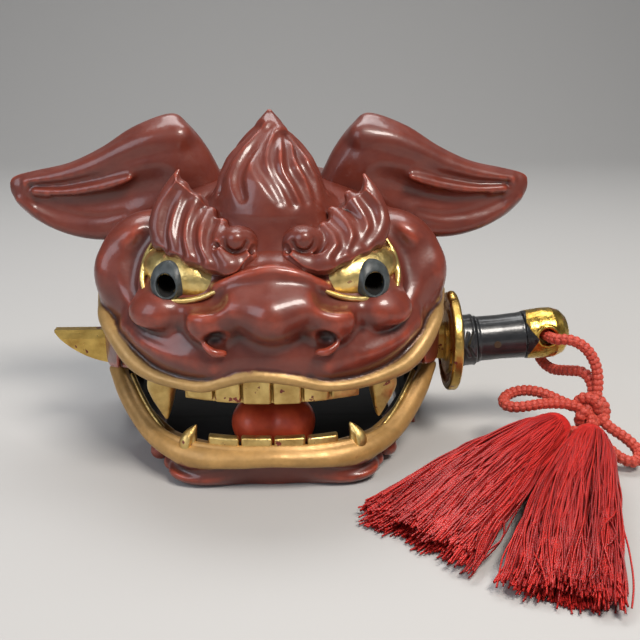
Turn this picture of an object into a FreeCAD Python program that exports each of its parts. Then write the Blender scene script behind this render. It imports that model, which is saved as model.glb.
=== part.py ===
"""Lion-head ornament with a hinged lower jaw, biting a short sword with a tasselled cord.

Millimetres. +X is the lion's left-hand side, -Y is the way it faces, +Z is up.
The origin is on the jaw's flat sole, on the middle plane.
"""
import FreeCAD, Part

import math
import os

V = FreeCAD.Vector

# ---- driving dimensions -------------------------------------------------
# Head: an elliptical dome in front of axis_y, an arch from there to the open back.
head_half_width = 75.0
head_depth = 60.0
head_rise = 50.0
head_rear = 55.0
axis_y = 5.0
brow_line_z = 70.0
wall = 7.0
roof = 17.0
lip_z = 45.0
lip_height = 4.5
lip_stand = 3.0
lip_side_stand = 1.5
lip_corner_drop = 3.0
lip_bend_y = -25.0
lip_corner_y = -15.0
rim_bend_y = -27.0
rim_rear_gap = 2.0

# Nose, cheeks, temples and mane curls, carved on the head.
nose_centre = V(0, -52.0, 75.0)
nose_radii = V(14.5, 12.0, 13.5)
nostril_centre = V(24.5, -46.0, 70.0)
nostril_radii = V(10.0, 9.0, 9.0)
cheek_centre = V(46.0, -33.0, 70.0)
cheek_radii = V(11.0, 10.0, 8.5)
temple_centre = V(67.5, 0.0, 84.0)
temple_radii = V(8.0, 11.0, 21.0)
mane_curl_radius = 7.0
mane_curl_y = 22.0
mane_curl_z = (80.5, 92.0)
mane_curl_sink = 1.5

# Horn: a flame-shaped topknot on a dowel.
horn_y = -19.0
horn_seat_z = 109.0
horn_seat_width = 2.0
horn_base_radius = 22.5
horn_height = 40.0
horn_lean = 9.0
dowel_radius = 5.0
dowel_share = 0.6
# Share of the height, share of the base radius, share of the lean.
horn_rings = (
    (0.0, 1.0, 0.0), (0.18, 1.0, 0.0), (0.42, 0.86, 0.05),
    (0.62, 0.6, 0.2), (0.8, 0.3, 0.5), (1.0, 0.04, 1.0),
)

# Ears: drooping leaves, one section for each share of the way from root to tip.
ear_root_x = 34.0
ear_tip_x = 116.0
ear_y = 23.0
ear_sections = (
    (0.00, 104.0, 139.0, 11.0),
    (0.13, 101.0, 146.0, 13.0),
    (0.32, 95.0, 140.5, 11.5),
    (0.50, 91.0, 131.0, 9.0),
    (0.68, 92.5, 124.5, 7.0),
    (0.86, 99.0, 121.5, 5.0),
    (1.00, 109.0, 118.5, 2.2),
)
ear_peg_radius = 5.0
ear_peg_z = 103.0
ear_peg_share = 0.3
ear_peg_reach = 1.5

# Brows, eyes and pupils, laid on the face.
brow_stand = 5.5
brow_outline = (
    (4.5, 108.0), (5.5, 99.0), (15.5, 89.0), (30.0, 96.0), (45.0, 102.5),
    (46.0, 113.0), (27.0, 113.0), (12.0, 112.0),
)
brow_flame = ((22.0, 100.0), (44.0, 104.0), (43.0, 114.0), (37.0, 128.0), (33.0, 119.5), (27.0, 115.0))
brow_flame_y = -26.0
brow_flame_thickness = 9.0
eye_stand = 2.5
eye_outline = (
    (14.5, 87.5), (17.0, 83.5), (28.0, 78.5), (44.0, 77.5), (52.0, 84.0), (47.5, 101.0), (40.0, 99.0),
)
pupil_x = 39.0
pupil_z = 87.0
pupil_radius = 7.2
pupil_hole_radius = 3.8
pupil_hole_shift = 1.3
pupil_stand = 3.0

# Teeth and fangs: strips and cones that stand on the two rims.
tooth_inset = 1.2
lower_tooth_inset = 3.5
tooth_thickness = 4.6
upper_tooth_reach = 6.8
upper_tooth_half_row = 34.0
upper_tooth_gaps = (-23.0, -12.0, 0.0, 12.0, 23.0)
lower_tooth_reach = 6.5
lower_tooth_half_row = 26.5
lower_tooth_gaps = (-13.5, 0.0, 13.5)
tooth_gap_width = 0.9
tooth_gap_depth = 1.6
upper_fang_x = 44.5
upper_fang_length = 19.0
lower_fang_x = 34.0
lower_fang_length = 9.5
fang_radius = 3.4
fang_tip_radius = 0.7
side_tooth_height = 2.4
side_tooth_inset = 2.6
side_tooth_thickness = 3.0
side_tooth_setback = 1.5

# Jaw: a tapering bowl with two arms that reach back inside the head.
jaw_side_inset = 1.0
jaw_half_width = head_half_width - jaw_side_inset
jaw_depth = head_depth
jaw_sole_side_taper = 24.0
jaw_sole_front_taper = 9.0
jaw_sole_half_width = jaw_half_width - jaw_sole_side_taper
jaw_sole_depth = jaw_depth - jaw_sole_front_taper
jaw_rim_z = 17.0
jaw_corner_z = 36.0
jaw_floor = 8.0
jaw_rear = 46.0
arm_radius = 12.0
arm_setback = 8.0

# Tongue.
tongue_width = 34.0
tongue_setback = 15.0
tongue_length = 28.0
tongue_front = axis_y - jaw_depth + tongue_setback
tongue_rear = tongue_front + tongue_length
tongue_top = 30.0
tongue_round = 9.0

# Hinge.
hinge_y = 38.0
hinge_z = 30.0
cheek_disc_radius = 20.0
jaw_top_gap = 3.0
pin_radius = 3.0
pin_head_radius = 5.0
pin_head_thickness = 1.6

# Sword, which lies in the mouth corners.
sword_y = 5.0
blade_top = 53.0
blade_bottom = 36.5
blade_spine_half = 2.2
blade_ridge_half = 2.8
blade_ridge_drop = 4.0
blade_edge_half = 0.5
blade_reach = 23.0
blade_point_run = 36.0
tang_height = 9.0
tang_thickness = 4.0
tang_length = 31.0
guard_gap = 1.2
seppa_thickness = 1.0
seppa_radius = 9.0
guard_thickness = 4.6
guard_radius = 22.5
guard_hub_radius = 15.0
guard_web = 2.6
collar_length = 8.5
collar_radius = 11.8
grip_length = 22.5
grip_radius = 10.4
pommel_length = 21.0
pommel_radius = 11.6
pommel_end_round = 8.0
hilt_rise_deg = 5.0
peg_radius = 1.6
cord_hole_radius = 3.6
cord_hole_setback = 12.0
cord_hole_rise = 1.5

# Cord, knot and tassels.
cord_diameter = 5.2
# Places of the knot and the tassels, from the middle of the hole in the pommel.
knot_step = V(16.5, -26.5, -28.7)
knot_radii = V(7.0, 6.0, 8.0)
tassel_head_radius = 6.8
tassel_length = 90.0
# Step to the head's centre, run of the skirt along the ground, and how widely it spreads.
tassels = {
    "left": (V(-2.7, -35.0, -34.2), V(-62.8, -57.5, 0.0), 1.15),
    "right": (V(9.0, -49.5, -33.2), V(-36.0, -86.5, 0.0), 0.8),
}
# Share of the way down the skirt, half width, half height.
skirt_sections = ((0.0, 7.0, 6.4), (0.15, 12.0, 9.0), (0.45, 18.0, 8.6), (0.75, 23.5, 6.8), (1.0, 26.0, 4.0))

# ---- clearances ---------------------------------------------------------
side_play = 0.5
running_play = 0.08
seat_play = 0.1
lay_play = 0.3
sweep_play = 1.0

BIG = 400.0


# ---- small helpers ------------------------------------------------------
def block(x0, x1, y0, y1, z0, z1):
    return Part.makeBox(x1 - x0, y1 - y0, z1 - z0, V(x0, y0, z0))


def rod(radius, start, end):
    run = end - start
    return Part.makeCylinder(radius, run.Length, start, run)


def ellipsoid(centre, radii):
    stretch = FreeCAD.Matrix()
    stretch.scale(radii)
    shape = Part.makeSphere(1.0).transformGeometry(stretch)
    shape.translate(centre)
    return shape


def mirrored(shape):
    return shape.mirror(V(0, 0, 0), V(1, 0, 0))


def on_side(point, side):
    return V(side * point.x, point.y, point.z)


def polygon_face(points):
    return Part.Face(Part.makePolygon(points + [points[0]]))


def side_prism(points, x0, x1):
    """Solid from an outline of (y, z) points, run along X."""
    face = polygon_face([V(x0, y, z) for y, z in points])
    return face.extrude(V(x1 - x0, 0, 0))


def front_prism(points, y0, y1):
    """Solid from an outline of (x, z) points, run along Y."""
    face = polygon_face([V(x, y0, z) for x, z in points])
    return face.extrude(V(0, y1 - y0, 0))


def ellipse_wire(half_width, depth, z):
    stretch = FreeCAD.Matrix()
    stretch.scale(V(half_width, depth, 1.0))
    ring = Part.makeCircle(1.0).transformGeometry(stretch)
    ring.translate(V(0, axis_y, z))
    return Part.Wire([ring])


def bowl(low, high, rear, z0, z1):
    """Half-elliptical front with straight sides behind; low and high are (half width, depth)."""
    round_part = Part.makeLoft([ellipse_wire(*low, z0), ellipse_wire(*high, z1)], True, True)
    round_part = round_part.common(block(-BIG, BIG, -BIG, axis_y, z0, z1))
    outline = [(-low[0], z0), (low[0], z0), (high[0], z1), (-high[0], z1)]
    return round_part.fuse(front_prism(outline, axis_y, rear)).removeSplitter()


def dome(half_width, depth, rise, rear, base_z=0.0):
    """Bowl up to the brow line, an ellipsoid over it in front and an arch behind."""
    crown = ellipsoid(V(0, axis_y, brow_line_z), V(half_width, depth, rise))
    crown = crown.common(block(-BIG, BIG, -BIG, axis_y, brow_line_z, BIG))
    stretch = FreeCAD.Matrix()
    stretch.scale(V(half_width, 1.0, rise))
    arch = Part.makeCylinder(1.0, rear - axis_y, V(0, 0, 0), V(0, 1, 0)).transformGeometry(stretch)
    arch.translate(V(0, axis_y, brow_line_z))
    arch = arch.common(block(-BIG, BIG, axis_y, rear, brow_line_z, BIG))
    base = bowl((half_width, depth), (half_width, depth), rear, base_z, brow_line_z)
    return base.fuse([crown, arch]).removeSplitter()


def grown_dome(growth):
    """The head's outer form without its carving, larger by the growth all round."""
    return dome(head_half_width + growth, head_depth + growth, head_rise + growth, head_rear)


def front_y(x, inset=0.0):
    """Y of the head's elliptical front at a given X, that far inside the surface."""
    share = x / (head_half_width - inset)
    return axis_y - (head_depth - inset) * math.sqrt(1.0 - share * share)


def rounded(centre, radius_y, radius_z):
    """Upright ellipse in a YZ plane, as a wire."""
    stretch = FreeCAD.Matrix()
    stretch.scale(V(1.0, radius_y, radius_z))
    ring = Part.makeCircle(1.0, V(0, 0, 0), V(1, 0, 0)).transformGeometry(stretch)
    ring.translate(centre)
    return Part.Wire([ring])


def both(name, shape):
    """The piece on +X and its mirror image on -X."""
    return {name + "_right": shape, name + "_left": mirrored(shape)}


# ---- profiles seen from the side ----------------------------------------
notch_top = blade_top + side_play + lay_play
notch_front = sword_y - blade_ridge_half - sweep_play
notch_rear = sword_y + blade_ridge_half + sweep_play


def sweep_front(z):
    """Y just in front of the circle that the blade's upper front corner needs about the hinge."""
    radius = math.hypot(hinge_y - notch_front, notch_top - hinge_z)
    return hinge_y - math.sqrt(radius * radius - (z - hinge_z) ** 2)


def lip_line(rise):
    """Lower edge of the head from the chin to behind the mouth corner, raised by rise."""
    corner_z = lip_z - lip_corner_drop
    return [
        (-BIG, lip_z + rise),
        (lip_bend_y, lip_z + rise),
        (lip_corner_y + 0.2 * rise, corner_z + rise),
        (sweep_front(corner_z) - 0.7 * rise, corner_z + rise),
        (sweep_front(notch_top) - 0.3 * rise, notch_top + rise),
    ]


def head_side():
    """What is left of the head seen from the side."""
    rear_z = jaw_corner_z + jaw_top_gap
    outline = lip_line(0.0) + [
        (notch_rear, notch_top),
        (notch_rear, rear_z),
        (hinge_y - 0.9 * cheek_disc_radius, rear_z),
        (hinge_y, hinge_z),
        (hinge_y, hinge_z - cheek_disc_radius),
        (BIG, hinge_z - cheek_disc_radius),
        (BIG, BIG),
        (-BIG, BIG),
    ]
    prism = side_prism(outline, -BIG, BIG)
    disc = rod(cheek_disc_radius, V(-BIG, hinge_y, hinge_z), V(BIG, hinge_y, hinge_z))
    return prism.fuse(disc)


def rim_line(rise):
    """Upper edge of the jaw from the chin to behind the mouth corner, raised by rise."""
    blade_seat_front = notch_front - rim_rear_gap
    return [
        (-BIG, jaw_rim_z + rise),
        (rim_bend_y, jaw_rim_z + rise),
        (blade_seat_front, jaw_corner_z + rise),
    ]


# ---- head ---------------------------------------------------------------
def carved_head():
    """The head's solid outer form with nose, cheeks, temples and curls."""
    form = grown_dome(0.0)
    lip = bowl(
        (head_half_width + lip_side_stand, head_depth + lip_stand),
        (head_half_width + lip_side_stand, head_depth + lip_stand),
        notch_front, 0.0, brow_line_z,
    )
    lip = lip.common(side_prism(lip_line(0.0) + lip_line(lip_height)[::-1], -BIG, BIG))
    bumps = [lip, ellipsoid(nose_centre, nose_radii)]
    for side in (-1, 1):
        bumps.append(ellipsoid(on_side(nostril_centre, side), nostril_radii))
        bumps.append(ellipsoid(on_side(cheek_centre, side), cheek_radii))
        bumps.append(ellipsoid(on_side(temple_centre, side), temple_radii))
        for z in mane_curl_z:
            curl_x = head_half_width * math.sqrt(1.0 - ((z - brow_line_z) / head_rise) ** 2)
            centre = V(side * (curl_x - mane_curl_sink), mane_curl_y, z)
            bumps.append(Part.makeSphere(mane_curl_radius, centre))
    return form.fuse(bumps).removeSplitter()


def horn_seat():
    """Raised ring that the horn stands on, from inside the dome up to the seat."""
    outer = horn_base_radius + horn_seat_width
    return rod(outer, V(0, horn_y, horn_seat_z - roof), V(0, horn_y, horn_seat_z))


def sight_hole(side):
    x = side * (pupil_x + pupil_hole_shift)
    return rod(pupil_hole_radius, V(x, -BIG, pupil_z), V(x, axis_y, pupil_z))


def make_head(form):
    hollow = dome(head_half_width - wall, head_depth - wall, head_rise - roof, head_rear + 1.0, -1.0)
    seat_air = rod(horn_base_radius + lay_play + seat_play, V(0, horn_y, horn_seat_z), V(0, horn_y, BIG))
    cuts = [hollow, seat_air]
    cuts.append(rod(dowel_radius + seat_play, V(0, horn_y, 0), V(0, horn_y, horn_seat_z)))
    cuts.append(rod(pin_radius, V(-BIG, hinge_y, hinge_z), V(BIG, hinge_y, hinge_z)))
    for side in (-1, 1):
        cuts.append(sight_hole(side))
        peg_start = V(side * ear_peg_share * head_half_width, ear_y, ear_peg_z)
        cuts.append(rod(ear_peg_radius + seat_play, peg_start, V(side * BIG, ear_y, ear_peg_z)))
    return form.common(head_side()).cut(cuts).removeSplitter()


def make_horn():
    """Stacked circles that narrow and lean back to the tip."""
    rings = []
    for height, width, lean in horn_rings:
        centre = V(0, horn_y + lean * horn_lean, horn_seat_z + height * horn_height)
        rings.append(Part.Wire([Part.makeCircle(width * horn_base_radius, centre)]))
    horn = Part.makeLoft(rings, True)
    dowel_foot = horn_seat_z - dowel_share * roof
    dowel = rod(dowel_radius, V(0, horn_y, dowel_foot), V(0, horn_y, horn_seat_z + 1.0))
    return horn.fuse(dowel).removeSplitter()


def make_ear(form):
    rings = []
    for share, low, high, half_thickness in ear_sections:
        x = ear_root_x + share * (ear_tip_x - ear_root_x)
        rings.append(rounded(V(x, ear_y, (low + high) / 2), half_thickness, (high - low) / 2))
    leaf = Part.makeLoft(rings, True).cut(form)
    leaf = max(leaf.Solids, key=lambda solid: solid.Volume)
    arch_x = head_half_width * math.sqrt(1.0 - ((ear_peg_z - brow_line_z) / head_rise) ** 2)
    peg_end = V(arch_x + ear_peg_reach * wall, ear_y, ear_peg_z)
    peg = rod(ear_peg_radius, V(arch_x - wall, ear_y, ear_peg_z), peg_end)
    return leaf.fuse(peg).removeSplitter()


def laid_on(form, outline, stand, under=0.0):
    """A carving of even thickness on the head's front, cut to the form below it."""
    layer = front_prism(outline, -BIG, axis_y).common(grown_dome(under + stand))
    if under:
        layer = layer.cut(grown_dome(under))
    return max(layer.cut(form).Solids, key=lambda solid: solid.Volume)


def make_brow(form):
    layer = laid_on(form, list(brow_outline), brow_stand)
    flame = front_prism(list(brow_flame), brow_flame_y - brow_flame_thickness, brow_flame_y)
    brow = layer.fuse(flame.cut(form)).removeSplitter()
    brow = brow.cut(rod(horn_base_radius + horn_seat_width, V(0, horn_y, 0), V(0, horn_y, horn_seat_z)))
    brow = brow.cut(rod(horn_base_radius + lay_play, V(0, horn_y, horn_seat_z - 1), V(0, horn_y, BIG)))
    return max(brow.Solids, key=lambda solid: solid.Volume)


def make_eye(form, brow):
    eye = laid_on(form, list(eye_outline), eye_stand).cut([sight_hole(1), brow])
    return max(eye.Solids, key=lambda solid: solid.Volume)


def make_pupil(brow, form):
    disc = rod(pupil_radius, V(pupil_x, -BIG, pupil_z), V(pupil_x, axis_y, pupil_z))
    ring = disc.common(grown_dome(eye_stand + pupil_stand)).cut(grown_dome(eye_stand))
    ring = ring.cut([sight_hole(1), brow, form])
    return max(ring.Solids, key=lambda solid: solid.Volume)


# ---- teeth --------------------------------------------------------------
def tooth_band(inset, z0, z1):
    """Curved wall that follows the head's front, one tooth thick."""
    outer = (head_half_width - inset, head_depth - inset)
    inner = (outer[0] - tooth_thickness, outer[1] - tooth_thickness)
    return bowl(outer, outer, axis_y + 1.0, z0, z1).cut(bowl(inner, inner, axis_y + 2.0, z0 - 1, z1 + 1))


def tooth_row(z0, z1, half_row, gaps, inset):
    row = tooth_band(inset, z0, z1).common(block(-half_row, half_row, -BIG, 0, z0, z1))
    for x in gaps:
        face = front_y(x, inset)
        half = tooth_gap_width / 2
        row = row.cut(block(x - half, x + half, face - 5.0, face + tooth_gap_depth, z0 - 1, z1 + 1))
    return row


def fang(x, y, root_z, length):
    """Cone from its root at root_z; a negative length points down."""
    heading = V(0, 0, math.copysign(1, length))
    return Part.makeCone(fang_radius, fang_tip_radius, abs(length), V(x, y, root_z), heading)


# ---- jaw ----------------------------------------------------------------
def jaw_form():
    return jaw_bowl(0.0, jaw_rear)


def jaw_bowl(inset, rear):
    """The jaw's outer form, smaller by the inset all round."""
    low = (jaw_sole_half_width - inset, jaw_sole_depth - inset)
    high = (jaw_half_width - inset, jaw_depth - inset)
    return bowl(low, high, rear, 0.0, jaw_corner_z)


def jaw_hollow():
    low = (jaw_sole_half_width - 0.6 * wall, jaw_sole_depth - wall)
    high = (jaw_half_width - wall, jaw_depth - wall)
    return bowl(low, high, jaw_rear + 1.0, jaw_floor, jaw_corner_z + 1.0)


def jaw_top_prism():
    outline = rim_line(0.0) + [
        (hinge_y, jaw_corner_z),
        (hinge_y, -1.0),
        (-BIG, -1.0),
    ]
    return side_prism(outline, -BIG, BIG)


def make_jaw():
    arm_outer = head_half_width - wall - side_play
    body = jaw_form().common(jaw_top_prism().fuse(block(-BIG, BIG, axis_y, jaw_rear, -1.0, jaw_floor)))
    body = body.cut(jaw_hollow())
    relief = rod(cheek_disc_radius + sweep_play, V(0, hinge_y, hinge_z), V(BIG, hinge_y, hinge_z))
    relief = relief.fuse(block(0, BIG, hinge_y, BIG, 0, BIG))
    relief = relief.fuse(block(0, BIG, hinge_y - 0.8 * cheek_disc_radius, BIG, hinge_z, BIG))
    relief = relief.common(block(arm_outer, BIG, -BIG, BIG, -1, BIG))
    inside = block(-arm_outer + wall, arm_outer - wall, axis_y, BIG, jaw_floor, BIG)
    body = body.cut([relief, mirrored(relief), inside])
    outline = [
        (axis_y + arm_setback, 0.0), (jaw_rear, 0.0),
        (hinge_y + arm_radius, hinge_z), (hinge_y - arm_radius, hinge_z),
    ]
    arm = side_prism(outline, arm_outer - wall, arm_outer)
    arm = arm.fuse(rod(arm_radius, V(arm_outer - wall, hinge_y, hinge_z), V(arm_outer, hinge_y, hinge_z)))
    arm = arm.cut(jaw_hollow().common(block(-BIG, BIG, -BIG, axis_y, 0, BIG)))
    jaw = body.fuse([arm, mirrored(arm)])
    bore = rod(pin_radius + running_play, V(-BIG, hinge_y, hinge_z), V(BIG, hinge_y, hinge_z))
    return jaw.cut(bore).removeSplitter()


def make_tongue():
    half = tongue_width / 2
    slab = block(-half, half, tongue_front, tongue_rear, jaw_floor, tongue_top)
    edges = [edge for edge in slab.Edges if edge.BoundBox.ZMin > tongue_top - 0.01]
    edges += [e for e in slab.Edges if e.BoundBox.YMax < tongue_front + 0.01 and e.BoundBox.ZLength > 1.0]
    slab = slab.makeFillet(tongue_round, edges)
    slab = slab.common(jaw_hollow())
    return slab.cut(block(-0.8, 0.8, tongue_front - 1, tongue_rear + 1, tongue_top - 1.5, tongue_top + 1))


def make_side_teeth():
    strip = side_prism(rim_line(0.0) + rim_line(side_tooth_height)[::-1], 0, BIG)
    start_x = lower_fang_x + fang_radius + side_tooth_setback
    window = block(start_x, BIG, -BIG, notch_front - 4 * side_tooth_setback, 0, BIG)
    band = jaw_bowl(side_tooth_inset, axis_y + 1.0)
    band = band.cut(jaw_bowl(side_tooth_inset + side_tooth_thickness, axis_y + 2.0))
    return strip.common(window).common(band)


def make_pin():
    inner_end = head_half_width - 2 * wall - side_play
    shank = rod(pin_radius, V(inner_end, hinge_y, hinge_z), V(head_half_width, hinge_y, hinge_z))
    head_end = head_half_width + pin_head_thickness
    cap = rod(pin_head_radius, V(head_half_width, hinge_y, hinge_z), V(head_end, hinge_y, hinge_z))
    return shank.fuse(cap).removeSplitter()


# ---- sword --------------------------------------------------------------
guard_x = head_half_width + lip_side_stand + guard_gap + seppa_thickness
hilt_start = guard_x + guard_thickness
blade_middle = (blade_top + blade_bottom) / 2
collar_end = hilt_start + collar_length
grip_end = collar_end + grip_length
pommel_end = grip_end + pommel_length
cord_hole_x = pommel_end - cord_hole_setback


def raised(shape):
    """Turn a hilt piece up about the guard's outer face."""
    turned = shape.copy()
    turned.rotate(V(hilt_start, sword_y, blade_middle), V(0, 1, 0), -hilt_rise_deg)
    return turned


def raised_point(point):
    turn = FreeCAD.Rotation(V(0, 1, 0), -hilt_rise_deg)
    pivot = V(hilt_start, sword_y, blade_middle)
    return pivot + turn.multVec(point - pivot)


def tang_form(play):
    half_z = tang_height / 2 + play
    half_y = tang_thickness / 2 + play
    return block(hilt_start, hilt_start + tang_length, sword_y - half_y, sword_y + half_y,
                 blade_middle - half_z, blade_middle + half_z)


def shoulder_form(play):
    """The tang's straight stretch through the washer and the guard."""
    half_z = tang_height / 2 + play
    half_y = tang_thickness / 2 + play
    start = guard_x - seppa_thickness
    return block(start, hilt_start + 1.0, sword_y - half_y, sword_y + half_y,
                 blade_middle - half_z, blade_middle + half_z)


def make_blade():
    section = [
        (sword_y - blade_edge_half, blade_bottom),
        (sword_y + blade_edge_half, blade_bottom),
        (sword_y + blade_ridge_half, blade_top - blade_ridge_drop),
        (sword_y + blade_spine_half, blade_top),
        (sword_y - blade_spine_half, blade_top),
        (sword_y - blade_ridge_half, blade_top - blade_ridge_drop),
    ]
    tip_x = -head_half_width - blade_reach
    blade = side_prism(section, tip_x, guard_x - seppa_thickness)
    bow = V(tip_x + 0.35 * blade_point_run, 0, blade_bottom + 4.0)
    edge = Part.Arc(V(tip_x, 0, blade_top - 1.0), bow, V(tip_x + blade_point_run, 0, blade_bottom)).toShape()
    corner = V(tip_x - 1.0, 0, blade_bottom - 1.0)
    lines = [
        (V(tip_x + blade_point_run, 0, blade_bottom), V(tip_x + blade_point_run, 0, corner.z)),
        (V(tip_x + blade_point_run, 0, corner.z), corner),
        (corner, V(corner.x, 0, blade_top - 1.0)),
        (V(corner.x, 0, blade_top - 1.0), V(tip_x, 0, blade_top - 1.0)),
    ]
    waste = Part.Face(Part.Wire([edge] + [Part.LineSegment(a, b).toShape() for a, b in lines]))
    waste = waste.extrude(V(0, 4 * blade_ridge_half, 0))
    waste.translate(V(0, sword_y - 2 * blade_ridge_half, 0))
    tang = raised(tang_form(0.0)).fuse(shoulder_form(0.0))
    blade = blade.cut(waste).fuse(tang)
    return blade.cut(raised(peg_form())).removeSplitter()


def peg_form():
    x = collar_end + 0.4 * grip_length
    start = V(x, sword_y - grip_radius, blade_middle)
    return rod(peg_radius, start, V(x, sword_y + grip_radius, blade_middle))


def make_guard():
    """Round guard, thick at the rim and hub and thinner between them."""
    def disc(radius, x0, x1):
        return rod(radius, V(x0, sword_y, blade_middle), V(x1, sword_y, blade_middle))
    guard = disc(guard_radius, guard_x, hilt_start)
    dish = (guard_thickness - guard_web) / 2
    for x0, x1 in ((guard_x - 1, guard_x + dish), (hilt_start - dish, hilt_start + 1)):
        ring = disc(guard_radius - 3.5, x0, x1).cut(disc(guard_hub_radius, x0 - 1, x1 + 1))
        guard = guard.cut(ring)
    return guard.cut([shoulder_form(seat_play), raised(tang_form(seat_play))]).removeSplitter()


def make_seppa():
    start = guard_x - seppa_thickness
    washer = rod(seppa_radius, V(start, sword_y, blade_middle), V(guard_x, sword_y, blade_middle))
    return washer.cut(shoulder_form(seat_play))


def hilt_rod(radius, x0, x1):
    return rod(radius, V(x0, sword_y, blade_middle), V(x1, sword_y, blade_middle))


def make_collar():
    collar = hilt_rod(collar_radius, hilt_start - 1.0, collar_end).cut(tang_form(seat_play))
    collar = raised(collar).cut(block(-BIG, hilt_start, -BIG, BIG, -BIG, BIG))
    return collar.cut(shoulder_form(seat_play)).removeSplitter()


def make_grip():
    grip = hilt_rod(grip_radius, collar_end, grip_end)
    return raised(grip.cut([tang_form(seat_play), peg_form()]).removeSplitter())


def cord_hole():
    z = blade_middle + cord_hole_rise
    start = V(cord_hole_x, sword_y - 2 * pommel_radius, z)
    return rod(cord_hole_radius, start, V(cord_hole_x, sword_y + 2 * pommel_radius, z))


def make_pommel():
    pommel = hilt_rod(pommel_radius, grip_end, pommel_end)
    rim = [edge for edge in pommel.Edges if abs(edge.BoundBox.XMin - pommel_end) < 0.01]
    pommel = pommel.makeFillet(pommel_end_round, [e for e in rim if abs(e.BoundBox.XMax - pommel_end) < 0.01])
    return raised(pommel.cut([cord_hole(), tang_form(seat_play)]).removeSplitter())


# ---- cord ---------------------------------------------------------------
def cord_mouth():
    """Middle of the hole in the pommel."""
    return raised_point(V(cord_hole_x, sword_y, blade_middle + cord_hole_rise))


def cord_route(side):
    """Points by hand, from the middle of the pommel's hole to a tassel's head."""
    front = (
        V(0, 0, 0), V(0.3, -14.5, -0.2), V(7.5, -19.0, 2.0), V(15.0, -19.5, -2.0), V(20.0, -20.5, -10.0),
        V(20.5, -23.5, -19.5), V(18.0, -27.0, -27.5), V(22.5, -32.0, -34.0), V(31.0, -36.0, -38.5),
        V(35.5, -40.5, -43.0), V(31.5, -46.5, -45.5), V(24.0, -44.5, -43.0), V(18.5, -38.5, -38.0),
        V(13.0, -39.0, -34.0), V(10.0, -44.5, -33.5),
    )
    back = (
        V(0, 0, 0), V(0.3, 14.0, -0.2), V(1.5, 16.0, -9.5), V(3.0, 9.0, -18.0), V(6.0, -1.0, -19.5),
        V(11.0, -10.0, -16.5), V(16.0, -16.0, -14.5), V(19.0, -20.0, -18.5), V(18.5, -24.5, -25.0),
        V(12.5, -26.5, -28.5), V(5.0, -24.0, -26.0), V(-3.0, -18.0, -23.5), V(-10.0, -12.5, -24.5),
        V(-17.0, -13.5, -26.0), V(-21.0, -18.5, -27.5), V(-19.0, -24.5, -28.0), V(-12.0, -27.0, -26.5),
        V(-4.5, -26.0, -25.5), V(4.5, -26.5, -25.5), V(11.5, -27.5, -26.5), V(16.5, -30.5, -30.0),
        V(15.0, -35.0, -34.0), V(9.5, -36.5, -35.0), V(4.0, -35.3, -34.4),
    )
    return [cord_mouth() + step for step in (front if side == "right" else back)]


def cord_path(points):
    """Straight runs joined by tangent arcs, as large as the runs beside them allow."""
    edges = []
    radii = []
    last = points[0]
    for before, corner, after in zip(points, points[1:], points[2:]):
        coming = (corner - before).normalize()
        going = (after - corner).normalize()
        half_turn = coming.getAngle(going) / 2
        reach = 0.45 * min((corner - before).Length, (after - corner).Length)
        radius = reach / math.tan(half_turn)
        radii.append(radius)
        start = corner - coming * reach
        end = corner + going * reach
        inward = (going - coming).normalize()
        middle = corner + inward * (radius / math.cos(half_turn) - radius)
        edges.append(Part.LineSegment(last, start).toShape())
        edges.append(Part.Arc(start, middle, end).toShape())
        last = end
    edges.append(Part.LineSegment(last, points[-1]).toShape())
    return Part.Wire(edges), radii


def make_cord(side):
    path, radii = cord_path(cord_route(side))
    start = path.Edges[0].Vertexes[0].Point
    heading = path.Edges[0].tangentAt(path.Edges[0].FirstParameter)
    section = Part.Wire([Part.makeCircle(cord_diameter / 2, start, heading)])
    tube = path.makePipeShell([section], True, False)
    expected = math.pi * cord_diameter ** 2 / 4 * path.Length
    print("cord", side, "length", round(path.Length, 1), "volume ratio", round(tube.Volume / expected, 4),
          "radii", [round(r, 1) for r in radii])
    return tube


# ---- tassels ------------------------------------------------------------
def make_tassel_head(side):
    return Part.makeSphere(tassel_head_radius, cord_mouth() + tassels[side][0])


def make_skirt(side):
    """Sections square to the skirt's run, sinking from the head to the ground and spreading."""
    step, run, spread = tassels[side]
    head = cord_mouth() + step
    run = V(run).normalize()
    turn = FreeCAD.Rotation(V(1, 0, 0), run)
    rings = []
    for share, half_width, half_height in skirt_sections:
        z = head.z * (1 - share) ** 2 + half_height * (1 - (1 - share) ** 2)
        width = half_width * (1.0 + (spread - 1.0) * share)
        ring = rounded(V(0, 0, 0), width, half_height)
        ring.Placement = FreeCAD.Placement(V(head.x, head.y, z) + run * (share * tassel_length), turn)
        rings.append(ring)
    skirt = Part.makeLoft(rings, True).common(block(-BIG, BIG, -BIG, BIG, 0, BIG))
    return skirt.cut(Part.makeSphere(tassel_head_radius, head)).removeSplitter()


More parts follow.
